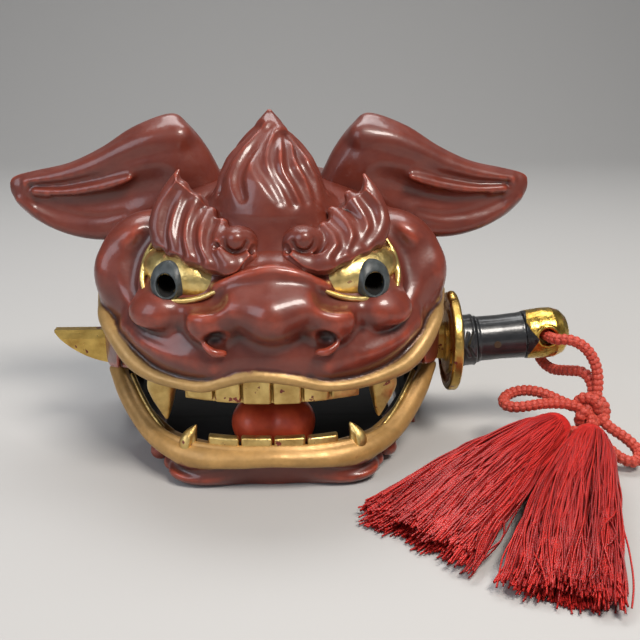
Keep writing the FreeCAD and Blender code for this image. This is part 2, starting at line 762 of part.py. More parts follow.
# ---- assembly -----------------------------------------------------------
def build():
    form = carved_head().fuse(horn_seat()).removeSplitter()
    brow = make_brow(form)
    fang_y = front_y(upper_fang_x, wall / 2)
    low_fang_y = front_y(lower_fang_x, wall / 2 + side_play)
    pieces = {
        "head_shell": make_head(form),
        "horn_flame": make_horn(),
        "upper_tooth_row": tooth_row(
            lip_z - upper_tooth_reach, lip_z, upper_tooth_half_row, upper_tooth_gaps, tooth_inset),
        "lower_jaw": make_jaw(),
        "lower_tooth_row": tooth_row(
            jaw_rim_z, jaw_rim_z + lower_tooth_reach, lower_tooth_half_row, lower_tooth_gaps,
            lower_tooth_inset),
        "tongue": make_tongue(),
        "blade": make_blade(),
        "guard_washer": make_seppa(),
        "sword_guard": make_guard(),
        "hilt_collar": make_collar(),
        "grip": make_grip(),
        "grip_peg": raised(peg_form()),
        "pommel": make_pommel(),
        "cord_knot": ellipsoid(cord_mouth() + knot_step, knot_radii),
    }
    pieces.update(both("ear", make_ear(form)))
    pieces.update(both("brow", brow))
    pieces.update(both("eye_plate", make_eye(form, brow)))
    pieces.update(both("pupil_ring", make_pupil(brow, form)))
    pieces.update(both("upper_fang", fang(upper_fang_x, fang_y, lip_z, -upper_fang_length)))
    pieces.update(both("lower_fang", fang(lower_fang_x, low_fang_y, jaw_rim_z, lower_fang_length)))
    pieces.update(both("side_teeth", make_side_teeth()))
    pieces.update(both("hinge_pin", make_pin()))
    for side in tassels:
        pieces["cord_" + side] = make_cord(side)
        pieces["tassel_head_" + side] = make_tassel_head(side)
        pieces["tassel_skirt_" + side] = make_skirt(side)
    return pieces


def main():
    os.makedirs("parts", exist_ok=True)
    for name, shape in build().items():
        solids = shape.Solids
        print(f"{name:18s} solids {len(solids)} valid {shape.isValid()} volume {shape.Volume:10.1f} "
              f"lowest {shape.BoundBox.ZMin:6.2f}")
        (solids[0] if len(solids) == 1 else Part.makeCompound(solids)).exportStep(f"parts/{name}.step")


main()
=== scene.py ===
"""Looks of the lion-head ornament: carved lacquer, gilding, a short sword, a braided cord and two tassels."""
import math

import bpy
import numpy as np
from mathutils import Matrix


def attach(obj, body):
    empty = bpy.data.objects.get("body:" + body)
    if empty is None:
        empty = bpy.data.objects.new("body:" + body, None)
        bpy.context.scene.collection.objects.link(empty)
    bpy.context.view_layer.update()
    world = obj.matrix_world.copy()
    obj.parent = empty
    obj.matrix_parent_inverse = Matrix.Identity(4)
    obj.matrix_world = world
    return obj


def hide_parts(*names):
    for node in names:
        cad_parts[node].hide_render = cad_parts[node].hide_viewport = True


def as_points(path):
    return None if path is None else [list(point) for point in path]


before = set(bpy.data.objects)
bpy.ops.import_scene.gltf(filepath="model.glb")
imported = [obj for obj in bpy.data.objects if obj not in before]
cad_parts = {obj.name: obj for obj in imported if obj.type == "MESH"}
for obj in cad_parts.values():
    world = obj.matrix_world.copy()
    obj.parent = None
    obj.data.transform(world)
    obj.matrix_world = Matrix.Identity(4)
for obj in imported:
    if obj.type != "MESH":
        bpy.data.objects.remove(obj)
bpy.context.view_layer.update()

import openvdb as vdb
from mathutils import Matrix, Vector

MM = 0.001
SIDES = (("left", -1), ("right", 1))


# ---- the object's own dimensions, in millimetres, as in the design -------
HALF, DEPTH, RISE, REAR, AXIS, BROW_LINE = 75.0, 60.0, 50.0, 55.0, 5.0, 70.0
WALL, ROOF = 7.0, 17.0
HINGE_Y, HINGE_Z, DISC = 38.0, 30.0, 20.0
HORN_Y, HORN_Z = -19.0, 109.0
GUARD_X, HILT_X, SWORD_Y, SWORD_Z = 78.7, 83.3, 5.0, 44.75
HILT_RISE = math.radians(5.0)
FAR = 60.0


# ---- carving: solids held as signed distances on a grid ------------------
class Clay:
    """Signed distances in millimetres on an even grid; negative is inside."""

    def __init__(self, low, high, step):
        self.low = np.array(low, float)
        self.step = step
        count = np.ceil((np.array(high) - self.low) / step).astype(int) + 1
        self.axes = [self.low[i] + step * np.arange(count[i]) for i in range(3)]
        self.field = np.full(count, FAR, np.float32)

    def window(self, low, high):
        spans = tuple(slice(*np.searchsorted(a, (l, h))) for a, l, h in zip(self.axes, low, high))
        return spans, np.meshgrid(*(a[s] for a, s in zip(self.axes, spans)), indexing="ij", sparse=True)

    def add(self, shape, soft=1.0):
        spans, d = shape(self, soft + 2 * self.step)
        self.field[spans] = soft_min(self.field[spans], d, soft)

    def cut(self, shape, soft=1.0):
        spans, d = shape(self, soft + 2 * self.step)
        self.field[spans] = -soft_min(-self.field[spans], d, soft)

    def keep(self, shape, soft=1.0):
        spans, d = shape(self, FAR)
        self.field[spans] = -soft_min(-self.field[spans], -d, soft)


def soft_min(a, b, soft):
    h = np.maximum(soft - np.abs(a - b), 0.0) / soft
    return (np.minimum(a, b) - h * h * soft * 0.25).astype(np.float32)


def smooth_line(points, steps=8):
    """Catmull-Rom line through rows of numbers (a point and anything that varies with it)."""
    p = np.array(points, float)
    p = np.vstack([2 * p[0] - p[1], p, 2 * p[-1] - p[-2]])
    t = np.linspace(0, 1, steps, endpoint=False)[:, None]
    rows = []
    for a, b, c, d in zip(p, p[1:], p[2:], p[3:]):
        rows.append(0.5 * (2 * b + (c - a) * t + (2 * a - 5 * b + 4 * c - d) * t ** 2
                           + (3 * b - a - 3 * c + d) * t ** 3))
    return np.vstack(rows + [p[-2:-1]])


def ball(centre, radii, turn=(0.0, 0.0, 0.0)):
    """Ellipsoid; turn is in degrees about X, Y and Z."""
    m = np.array(Matrix.Rotation(math.radians(turn[2]), 3, "Z") @ Matrix.Rotation(math.radians(turn[1]),
            3, "Y")
                 @ Matrix.Rotation(math.radians(turn[0]), 3, "X"))
    c, r = np.array(centre, float), np.array(radii, float)

    def measure(clay, margin):
        reach = r.max() + margin
        spans, (x, y, z) = clay.window(c - reach, c + reach)
        dx, dy, dz = x - c[0], y - c[1], z - c[2]
        q = [dx * m[0, i] + dy * m[1, i] + dz * m[2, i] for i in range(3)]
        k0 = np.sqrt(sum((q[i] / r[i]) ** 2 for i in range(3)))
        k1 = np.sqrt(sum((q[i] / r[i] ** 2) ** 2 for i in range(3)))
        return spans, k0 * (k0 - 1.0) / np.maximum(k1, 1e-6)
    return measure


def tube(points, steps=6):
    """Round bar through points given as (x, y, z, radius)."""
    line = smooth_line(points, steps)

    def measure(clay, margin):
        reach = line[:, 3].max() + margin
        low, high = line[:, :3].min(0) - reach, line[:, :3].max(0) + reach
        spans, grid = clay.window(low, high)
        out = np.full([s.stop - s.start for s in spans], FAR, np.float32)
        for a, b in zip(line, line[1:]):
            near = max(a[3], b[3]) + margin
            part, (x, y, z) = clay.window(np.minimum(a, b)[:3] - near, np.maximum(a, b)[:3] + near)
            part = tuple(slice(max(p.start - s.start, 0), p.stop - s.start) for p, s in zip(part, spans))
            d = bar_distance(x, y, z, a, b)
            out[part] = np.minimum(out[part], d)
        return spans, out
    return measure


def bar_distance(x, y, z, a, b):
    run = b[:3] - a[:3]
    dx, dy, dz = x - a[0], y - a[1], z - a[2]
    share = np.clip((dx * run[0] + dy * run[1] + dz * run[2]) / max(run @ run, 1e-9), 0.0, 1.0)
    gap = np.sqrt((dx - share * run[0]) ** 2 + (dy - share * run[1]) ** 2 + (dz - share * run[2]) ** 2)
    return gap - (a[3] + share * (b[3] - a[3]))


def outline_distance(points, u, v):
    """Signed distance to a closed outline in a plane."""
    p = np.array(points, float)
    best = np.full(np.broadcast(u, v).shape, 1e9)
    inside = np.zeros(best.shape, bool)
    for a, b in zip(p, np.roll(p, -1, axis=0)):
        run = b - a
        share = np.clip(((u - a[0]) * run[0] + (v - a[1]) * run[1]) / max(run @ run, 1e-9), 0, 1)
        best = np.minimum(best, (u - a[0] - share * run[0]) ** 2 + (v - a[1] - share * run[1]) ** 2)
        crosses = (a[1] > v) != (b[1] > v)
        slope = run[0] / run[1] if run[1] else 0.0
        inside ^= crosses & (u < a[0] + (v - a[1]) * slope)
    return np.where(inside, -1, 1) * np.sqrt(best)


def side_cut(points):
    """Prism along X from an outline in (y, z)."""
    def measure(clay, margin):
        x, y, z = clay.axes
        d = outline_distance(points, y[:, None], z[None, :])
        return tuple(slice(0, len(a)) for a in clay.axes), np.broadcast_to(d[None], clay.field.shape)
    return measure


def front_cut(points):
    """Prism along Y from an outline in (x, z)."""
    def measure(clay, margin):
        x, y, z = clay.axes
        d = outline_distance(points, x[:, None], z[None, :])[:, None, :]
        return tuple(slice(0, len(a)) for a in clay.axes), np.broadcast_to(d, clay.field.shape)
    return measure


def whole(distance):
    """A shape from a plain function of x, y and z, used over the whole grid."""
    def measure(clay, margin):
        spans = tuple(slice(0, len(a)) for a in clay.axes)
        return spans, distance(*np.meshgrid(*clay.axes, indexing="ij", sparse=True))
    return measure


def either(*shapes):
    """Plain union of shapes that cover the whole grid."""
    def measure(clay, margin):
        parts = [shape(clay, margin) for shape in shapes]
        d = parts[0][1]
        for _, other in parts[1:]:
            d = np.minimum(d, other)
        return parts[0][0], d
    return measure


def dome(x, y, z, half=HALF, depth=DEPTH, rise=RISE):
    """Distance to the head's plain outer form, or to a larger or smaller one."""
    u, v, w = x, np.minimum(y - AXIS, 0.0), np.maximum(z - BROW_LINE, 0.0)
    k0 = np.sqrt((u / half) ** 2 + (v / depth) ** 2 + (w / rise) ** 2)
    k1 = np.sqrt((u / half ** 2) ** 2 + (v / depth ** 2) ** 2 + (w / rise ** 2) ** 2)
    return k0 * (k0 - 1.0) / np.maximum(k1, 1e-5)


def grown(grow):
    return lambda x, y, z: dome(x, y, z, HALF + grow, DEPTH + grow, RISE + grow)


def on_dome(x, z, grow=0.0):
    """Point on the head's front at x and z, that far out of the plain form."""
    share = 1.0 - (x / (HALF + grow)) ** 2 - (max(z - BROW_LINE, 0.0) / (RISE + grow)) ** 2
    return AXIS - (DEPTH + grow) * math.sqrt(max(share, 0.0))


def laid(points, grow=0.0):
    """(x, z, radius) rows put on the head's front."""
    return [(x, on_dome(x, z, grow), z, r) for x, z, r in points]


# ---- meshes --------------------------------------------------------------
def make_mesh(name, points, faces, smooth=True):
    """Mesh object from points in millimetres."""
    mesh = bpy.data.meshes.new(name)
    mesh.from_pydata((np.asarray(points) * MM).tolist(), [],
                     faces if isinstance(faces, list) else faces.tolist())
    mesh.update()
    mesh.polygons.foreach_set("use_smooth", [smooth] * len(mesh.polygons))
    obj = bpy.data.objects.new(name, mesh)
    bpy.context.scene.collection.objects.link(obj)
    return obj


def cast(clay, name):
    """The clay's surface as a mesh."""
    grid = vdb.FloatGrid(FAR)
    grid.copyFromArray(clay.field)
    points, _, quads = grid.convertToPolygons(0.0, 0.0)
    points = np.asarray(points, float) * clay.step + clay.low
    quads = np.asarray(quads, int)
    a, b, c = points[quads[:, 0]], points[quads[:, 1]], points[quads[:, 2]]
    if np.einsum("ij,ij->i", a, np.cross(b, c)).sum() < 0:
        quads = quads[:, ::-1]
    return make_mesh(name, points, quads)


def coords(obj):
    co = np.empty(len(obj.data.vertices) * 3)
    obj.data.vertices.foreach_get("co", co)
    return co.reshape(-1, 3) / MM


def normals(obj):
    n = np.empty(len(obj.data.vertices) * 3)
    obj.data.vertices.foreach_get("normal", n)
    return n.reshape(-1, 3)


def paint(obj, name, values):
    attribute = obj.data.attributes.new(name, "FLOAT", "POINT")
    attribute.data.foreach_set("value", np.asarray(values, np.float32))


def paint_hollows(obj, rounds=3, scale=6.0):
    """Attribute "hollow": above 0 in creases, below 0 on edges."""
    p, n = coords(obj), normals(obj)
    e = np.empty(len(obj.data.edges) * 2, int)
    obj.data.edges.foreach_get("vertices", e)
    a, b = e[0::2], e[1::2]
    count = np.bincount(a, minlength=len(p)) + np.bincount(b, minlength=len(p))

    def mean(values):
        total = np.bincount(a, values[b], len(p)) + np.bincount(b, values[a], len(p))
        return total / np.maximum(count, 1)
    middle = np.stack([mean(p[:, i]) for i in range(3)], 1)
    bend = np.einsum("ij,ij->i", middle - p, n) * scale
    for _ in range(rounds):
        bend = 0.5 * bend + 0.5 * mean(bend)
    paint(obj, "hollow", np.clip(bend, -1, 1))


def near_line(points, line):
    """Distance from points to a bar through (x, y, z, radius) rows."""
    best = np.full(len(points), FAR)
    for a, b in zip(line, line[1:]):
        best = np.minimum(best, bar_distance(points[:, 0], points[:, 1], points[:, 2], a, b))
    return best


def settle(obj, body, material, *nodes, slot=None):
    """Give a finished piece its material and its body, and hide the design pieces it stands for."""
    obj.data.materials.append(material)
    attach(obj, body)
    if nodes:
        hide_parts(*nodes)
    return obj


# ---- materials -----------------------------------------------------------
def colour(text):
    """Linear colour from an sRGB hex."""
    parts = [int(text[i:i + 2], 16) / 255 for i in (1, 3, 5)]
    return [c / 12.92 if c <= 0.04045 else ((c + 0.055) / 1.055) ** 2.4 for c in parts] + [1.0]


class Finish:
    """A material built from a Principled surface and a few nodes."""

    def __init__(self, name, base, rough, metal=0.0, coat=0.0, coat_rough=0.1, sheen=0.0):
        self.material = bpy.data.materials.new(name)
        self.material.use_nodes = True
        self.tree = self.material.node_tree
        self.surface = self.tree.nodes["Principled BSDF"]
        self.put("Base Color", colour(base))
        self.put("Roughness", rough)
        self.put("Metallic", metal)
        self.put("Coat Weight", coat)
        self.put("Coat Roughness", coat_rough)
        self.put("Sheen Weight", sheen)
        self.bump = None

    def put(self, socket, value):
        self.surface.inputs[socket].default_value = value

    def node(self, kind, links=None, **settings):
        """A node with settings by attribute, and links or constants by input."""
        made = self.tree.nodes.new(kind)
        for key, value in settings.items():
            setattr(made, key, value)
        for key, value in (links or {}).items():
            if isinstance(value, bpy.types.NodeSocket):
                self.tree.links.new(value, made.inputs[key])
            else:
                made.inputs[key].default_value = value
        return made

    def spots(self, scale_mm, detail=3.0, low=0.0, high=1.0, stretch=(1, 1, 1)):
        """Soft noise from low to high, its lumps about that many millimetres wide."""
        place = self.node("ShaderNodeTexCoord").outputs["Object"]
        scale = [s / (scale_mm * MM) for s in stretch]
        place = self.node("ShaderNodeMapping", {0: place, "Scale": scale}).outputs[0]
        noise = self.node("ShaderNodeTexNoise", {"Vector": place, "Scale": 1.0,
                                                 "Detail": detail}).outputs["Fac"]
        return self.span(noise, 0.3, 0.7, low, high)

    def span(self, value, a, b, low=0.0, high=1.0):
        return self.node("ShaderNodeMapRange", {0: value, 1: a, 2: b, 3: low, 4: high}).outputs[0]

    def sums(self, operation, a, b):
        return self.node("ShaderNodeMath", {0: a, 1: b}, operation=operation).outputs[0]

    def attribute(self, name):
        return self.node("ShaderNodeAttribute", attribute_name=name).outputs["Fac"]

    def blend(self, share, a, b):
        """Mix of two colours, hex or socket."""
        a, b = (colour(c) if isinstance(c, str) else c for c in (a, b))
        return self.node("ShaderNodeMix", {0: share, 6: a, 7: b}, data_type="RGBA").outputs[2]

    def tune(self, share, a, b):
        """Mix of two numbers."""
        return self.node("ShaderNodeMix", {0: share, 2: a, 3: b}, data_type="FLOAT").outputs[0]

    def link(self, socket, value):
        self.tree.links.new(value, self.surface.inputs[socket])

    def relief(self, height, depth_mm):
        """Bump from a height of 0 to 1, that many millimetres deep; later ones add to earlier ones."""
        links = {"Height": height, "Distance": depth_mm * MM, "Strength": 1.0}
        if self.bump:
            links["Normal"] = self.bump
        self.bump = self.node("ShaderNodeBump", links).outputs[0]
        self.link("Normal", self.bump)


def lacquer_colour(f):
    """Worn red lacquer: painted shade darker in the creases, brighter on rubbed edges."""
    broad = f.spots(22.0)
    base = f.blend(broad, "#561e13", "#6c2b1d")
    base = f.blend(f.spots(5.0, 4.0, 0.0, 0.3), base, "#7d3a28")
    hollow = f.attribute("hollow")
    # Painted shade: near-black lacquer in the creases.
    base = f.blend(f.span(hollow, 0.10, 0.5), base, "#2e0f0b")
    rubbed = f.sums("MULTIPLY", f.span(hollow, -0.10, -0.34), f.spots(4.0, 4.0, 0.25, 1.0))
    return f.blend(rubbed, base, "#9c3f27")


def lacquer(name="red_lacquer"):
    """Urushi lacquer over wood, polished and worn to a satin."""
    f = Finish(name, "#7d4238", 0.4, coat=0.45, coat_rough=0.12)
    f.link("Base Color", lacquer_colour(f))
    f.link("Roughness", f.spots(7.0, 4.0, 0.32, 0.5))
    f.relief(f.spots(9.0, 2.0), 0.12)
    f.relief(f.spots(1.2, 4.0), 0.02)
    return f.material


def carved_lacquer(name, lip_low, lip_high):
    """Lacquer with a gilt lip where attribute "lip" falls below 0, and black, matt painted shade where
    "inside" is 1.
    """
    f = Finish(name, "#7d4238", 0.4, coat=0.45, coat_rough=0.12)
    lip = f.sums("ADD", f.attribute("lip"), f.spots(3.0, 4.0, -0.35, 0.35))
    lip = f.span(lip, 0.25, -0.25)
    inside = f.attribute("inside")
    gilt = f.blend(f.spots(12.0, 3.0), lip_low, lip_high)
    gilt = f.blend(f.spots(2.0, 5.0, 0.0, 0.3), gilt, "#8a6a3c")
    # Painted shade: the gilt lip darker in its creases.
    gilt = f.blend(f.span(f.attribute("hollow"), 0.05, 0.4), gilt, "#5a3a1c")
    base = f.blend(lip, lacquer_colour(f), gilt)
    # Painted shade: near-black, matt and without coat where "inside" is 1.
    f.link("Base Color", f.blend(inside, base, "#0d0b0a"))
    f.link("Metallic", f.sums("MULTIPLY", f.sums("SUBTRACT", 1.0, inside), f.sums("MULTIPLY", lip, 0.35)))
    rough = f.tune(lip, f.spots(7.0, 4.0, 0.32, 0.5), f.spots(3.0, 4.0, 0.36, 0.52))
    f.link("Roughness", f.tune(inside, rough, 0.95))
    f.link("Coat Weight", f.tune(f.sums("MAXIMUM", inside, lip), 0.45, 0.0))
    f.relief(f.spots(9.0, 2.0), 0.12)
    f.relief(f.spots(1.2, 4.0), 0.02)
    return f.material


def gilding(name="gilding", bole=0.25, bright="#e0be6c", dull="#b08c48", rough=(0.26, 0.44)):
    """Gold leaf over a red clay ground, rubbed through in places."""
    f = Finish(name, "#c9a54d", 0.3, metal=1.0)
    base = f.blend(f.spots(6.0, 4.0), dull, bright)
    # Painted shade: darker leaf in the creases.
    base = f.blend(f.span(f.attribute("hollow"), 0.05, 0.4), base, "#5c3d16")
    worn = f.spots(4.5, 5.0, -1.4, 1.0 + bole)
    worn = f.span(worn, 0.85, 0.98)
    f.link("Base Color", f.blend(worn, base, "#6e2418"))
    f.link("Metallic", f.tune(worn, 1.0, 0.0))
    f.link("Roughness", f.spots(2.5, 4.0, *rough))
    f.relief(f.spots(2.4, 3.0), 0.10)
    f.relief(f.spots(0.7, 3.0), 0.02)
    return f.material


def plain(name, base, rough, metal=0.0, coat=0.0, grain_mm=2.0, grain_depth=0.02, shade=None):
    """One colour with a fine grain and a little dirt."""
    f = Finish(name, base, rough, metal, coat)
    if shade:
        f.link("Base Color", f.blend(f.spots(grain_mm * 4, 4.0), base, shade))
    f.relief(f.spots(grain_mm, 4.0), grain_depth)
    return f.material


def strand_stripes(f):
    """Slanting stripes that follow a strand, like the twist of its threads."""
    along = {0: f.node("ShaderNodeUVMap").outputs[0], "Scale": 1.0}
    return f.node("ShaderNodeTexWave", along, wave_type="BANDS", bands_direction="DIAGONAL").outputs["Fac"]


def cord_silk(name="cord_silk"):
    """Dyed silk cord, with a painted highlight on the plaited strands and painted shade between them."""
    f = Finish(name, "#b23a2e", 0.55, sheen=0.4)
    f.put("Sheen Tint", colour("#ff9a80"))
    # Painted light: attribute "shade" is high on the strands' outer faces and where they pass over, low
    # towards the core.
    tone = f.blend(f.attribute("shade"), "#6e1712", "#bd3f30")
    tone = f.blend(f.spots(1.2, 3.0, 0.0, 0.5), tone, "#c9503a")
    f.link("Base Color", tone)
    stripes = strand_stripes(f)
    f.relief(stripes, 0.10)
    return f.material


def tassel_silk(name="tassel_silk"):
    """Twisted silk threads, each a slightly different red."""
    f = Finish(name, "#c23330", 0.38, sheen=0.12)
    f.put("Sheen Tint", colour("#ff7a66"))
    tone = f.blend(f.attribute("tint"), "#8f1014", "#d42a22")
    stripes = strand_stripes(f)
    tone = f.blend(f.span(stripes, 0.0, 1.0, 0.0, 0.45), tone, "#5f0b12")
    f.link("Base Color", tone)
    f.relief(stripes, 0.12)
    return f.material


# ---- finishes ------------------------------------------------------------
RED = lacquer()
GOLD = gilding()
# Leaf on the teeth: paler and less rubbed than on the brows, a little duller.
TEETH_GOLD = gilding("teeth_gilding", bole=0.12, bright="#e6c982", dull="#b8975a", rough=(0.34, 0.5))
# Leaf on the eyes: the brightest, hardly rubbed; the extra brightness is painted light, so they catch the
# light first.
EYE_GOLD = gilding("eye_gilding", bole=-0.05, bright="#f3da94", dull="#cfae66", rough=(0.28, 0.42))
# Pupils: dark grey lacquer, half matt, so they stay deep beside the gold.
PUPIL = plain("pupil_lacquer", "#2c3132", 0.42, grain_mm=0.8, grain_depth=0.03, shade="#474d4e")
# Hilt: black lacquer with a clear coat, whose shine shows its round form.
BLACK = plain("black_lacquer", "#1b1c1e", 0.30, coat=0.4, grain_mm=1.2, grain_depth=0.03, shade="#2a2c2f")
# Tongue: orange-red lacquer, lighter and softer than the head's, part of its lightness painted light against
# the shade in the mouth.
TONGUE = plain("tongue_lacquer", "#d6552f", 0.5, coat=0.15, grain_mm=1.5, grain_depth=0.03, shade="#b23a20")
# Painted shade: a black, matt sheet behind the sight holes, so that the holes read as depth.
SHADE_SHEET = plain("painted_shade_sheet", "#0b0b0c", 0.9, grain_mm=0.6, grain_depth=0.1)
# Hinge pins: old yellow brass, darkened in spots.
BRASS = plain("pin_brass", "#9a7a3c", 0.35, metal=1.0, shade="#6d5226")
# Hilt peg: dark stained bamboo, dry beside the lacquer.
BAMBOO = plain("bamboo", "#4e3c28", 0.5, shade="#33261a")
CORD = cord_silk()
TASSEL = tassel_silk()

# ---- head ----------------------------------------------------------------
# Rows of (x, z, radius) on the face; the lip runs from one mouth corner to the other.
LIP = [(-69.5, 66.5, 3.0), (-63.5, 60.5, 3.8), (-56.0, 53.2, 3.8), (-47.5, 49.2, 3.0),
       (-38.0, 47.8, 2.4), (-28.0, 47.4, 2.5),
       (-19.0, 50.0, 2.2), (-9.5, 52.7, 2.2), (-1.0, 52.5, 2.1), (9.0, 50.8, 2.1), (21.0, 47.5,
               2.1), (34.0, 47.1, 2.4),
       (46.0, 48.6, 2.9), (55.5, 51.2, 3.6), (63.0, 57.5, 3.8), (69.0, 65.0, 3.0)]
LIP_LINE = [(-73.5, -6.0, 73.0, 1.8), (-72.2, -12.0, 69.5, 2.2)] + laid(LIP,
        2.2) + [(71.8, -12.0, 68.0, 2.4), (73.6, -6.0, 72.5, 2.0)]
CORNER_Z = 42.0
HEAD_SIDE = [(-FAR * 4, 45.0), (-25.0, 45.0), (-15.0, CORNER_Z), (-4.15, CORNER_Z), (1.2, 53.8),
             (8.8, 53.8), (8.8, 39.0),
             (20.0, 39.0), (HINGE_Y, HINGE_Z), (HINGE_Y, 10.0), (REAR, 10.0), (REAR,
                     FAR * 4), (-FAR * 4, FAR * 4)]
SIGHT_X, SIGHT_Z = 40.3, 87.0


def hinge_disc(x, y, z):
    return np.hypot(y - HINGE_Y, z - HINGE_Z) - DISC


def carve_nose(clay):
    """Round tip with a lobe and a hooked nostril on each side, on a short bridge."""
    clay.add(ball((0.5, -45, 87.0), (15.0, 12.5, 10.5)), 8)
    clay.add(ball((0.5, -53.0, 77.6), (13.2, 14.6, 11.4)), 5)
    for side in (-1, 1):
        clay.add(ball((side * 12.5, -50.5, 80.5), (10.5, 12.5, 8.0), (0, side * 14, 0)), 6)
        clay.add(ball((side * 23.6, -49.0, 75.2), (10.8, 13.4, 10.8), (0, side * 12, 0)), 5)
        outer = [(28.5, -55.0, 83.8, 0.6), (33.0, -54.5, 79.5, 1.3), (35.2, -54.5, 73.0, 1.8),
                 (33.4, -56.0, 66.6, 1.7),
                 (28.0, -59.0, 62.6, 1.2)]
        clay.cut(tube([(side * x, y, z, r) for x, y, z, r in outer]), 4.0)
        hook = [(14.6, -66.0, 74.5, 0.5), (16.6, -65.5, 71.0, 1.6), (16.0, -66.0, 67.4, 2.4),
                (11.0, -66.5, 65.0, 2.2),
                (5.0, -66.5, 63.8, 1.8), (0.0, -66.5, 63.4, 1.6)]
        clay.cut(tube([(side * x, y, z, r) for x, y, z, r in hook]), 2.6)
        clay.cut(ball((side * 21.0, -62.5, 68.4), (5.2, 8.0, 4.2), (0, side * 20, 0)), 1.8)
        clay.add(tube([(side * 18.0, -59.0, 63.4, 1.4), (side * 21.5, -60.0, 64.0, 1.7),
                       (side * 25.0, -59.0, 66.2, 1.2)]), 2.4)


CURLS = (80.5, 92.0)


def carve_cheek(clay, side):
    """Bulb under the eye, the roll that runs down from it, the temple and the curls behind."""
    clay.add(ball((side * 43.5, -38.5, 76.0), (13.4, 13.5, 9.6), (0, side * 16, -side * 25)), 4)
    roll = [(57, -32.0, 66.0, 4.0), (49, -39.5, 63.5, 6.0), (40, -45.5, 61.0, 6.4),
            (31, -49.5, 58.8, 5.6), (23, -52.0, 57.0, 4.2)]
    clay.add(tube([(side * x, y, z, r) for x, y, z, r in roll]), 6)
    fold = [(58.0, -37.5, 72.0, 0.6), (51.0, -45.0, 68.5, 1.4), (43.0, -51.0, 66.6, 1.5),
            (36.5, -55.5, 64.6, 0.9)]
    clay.cut(tube([(side * x, y, z, r) for x, y, z, r in fold]), 4.5)
    clay.add(ball((side * 63.5, -12.0, 85.0), (9.0, 14.0, 14.0), (0, 0, side * 25)), 9)
    clay.add(ball((side * 57.0, -10.0, 101.0), (10.0, 12.0, 6.0), (0, side * 30, 0)), 8)
    hollow = [(53.5, -35.0, 76.0, 1.4), (56.5, -30.0, 84, 2.2), (54.5, -26.0, 94, 2.6),
              (49.0, -25.0, 103, 2.0)]
    clay.cut(tube([(side * x, y, z, r) for x, y, z, r in hollow]), 5)
    for z in CURLS:
        x = HALF * math.sqrt(1 - ((z - BROW_LINE) / RISE) ** 2) - 1.5
        clay.add(ball((side * x, 22.0, z), (7.0, 7.0, 7.0)), 1.5)
        curl = [(x + 5.6, 19, z - 3.5, 0.8), (x + 7.2, 22, z - 0.5, 0.9), (x + 6.6, 25, z + 1.5, 0.9),
                (x + 7, 23, z + 3.5, 0.8)]
        clay.cut(tube([(side * x, y, z, r) for x, y, z, r in curl]), 1.2)


def carve_face(clay):
    """Muzzle, nose, cheeks, temples, eye hollows and the ridge between the eyes."""
    clay.add(ball((0, -36.5, 58), (44, 18.5, 10)), 10)
    carve_nose(clay)
    for side in (-1, 1):
        carve_cheek(clay, side)
    for side in (-1, 1):
        clay.cut(ball((side * 34, -53.5, 90.0), (19, 9.5, 9.5), (0, -side * 18, side * 24)), 3)
    ridge = [(-21, -51.0, 87.4, 0.8), (-16, -52.8, 90.4, 1.1), (-9, -54.0, 93.0, 1.4),
             (0.5, -54.2, 94.6, 1.6),
             (10, -54.0, 93.2, 1.4), (17, -52.8, 90.2, 1.1), (22, -51.0, 87.2, 0.8)]
    clay.add(tube(ridge), 4)
    

def make_head():
    clay = Clay((-84, -72, 5), (84, 58, 126), 0.98)
    clay.field[:] = dome(*np.meshgrid(*clay.axes, indexing="ij", sparse=True))
    carve_face(clay)
    clay.add(tube([(0, HORN_Y, 92, 24.0), (0, HORN_Y, 93, 24.0)], 1), 1)
    clay.cut(whole(lambda x, y, z: np.maximum(np.hypot(x, y - HORN_Y) - 22.9, HORN_Z - z)), 0.6)
    under_lip = [(x, z - 1.0) for x, y, z, r in LIP_LINE if abs(x) < 68]
    under_lip = [(-67.0, 20.0)] + under_lip + [(67.0, 20.0)]
    gap = whole(lambda x, y, z: np.maximum(-grown(-2.6)(x, y, z),
                                           outline_distance(under_lip, x[:, 0, :], z[0])[:, None, :]))
    clay.cut(gap, 0.8)
    clay.add(tube(LIP_LINE, 5), 1.8)
    clay.keep(whole(lambda x, y, z: -dome(x, y, z, HALF - WALL, DEPTH - WALL, RISE - ROOF)), 0.8)
    clay.keep(either(side_cut(HEAD_SIDE), whole(hinge_disc)), 0.8)
    for side in (-1, 1):
        hole = whole(lambda x, y, z: np.maximum(np.hypot(x - side * SIGHT_X, z - SIGHT_Z) - 3.8, y))
        clay.cut(hole, 0.5)
    head = cast(clay, "carved_head")
    p = coords(head)
    paint_hollows(head)
    paint(head, "lip", np.clip(near_line(p, smooth_line(LIP_LINE, 4)) - 0.5, -3, 3))
    # Painted shade: "inside" marks the hollow's inner face and the walls of the sight holes, which turn black
    # and matt.
    inside = np.clip((-dome(p[:, 0], p[:, 1], p[:, 2]) - 3.2) * 2, 0, 1)
    socket = (np.hypot(np.abs(p[:, 0]) - SIGHT_X, p[:, 2] - SIGHT_Z) < 5.0) * (p[:, 1] < 0)
    paint(head, "inside", np.maximum(inside, socket))
    return head


settle(make_head(), "head", carved_lacquer("head_lacquer", "#a3824f", "#b9935a"), "head_shell",
       slot="red_lacquer")


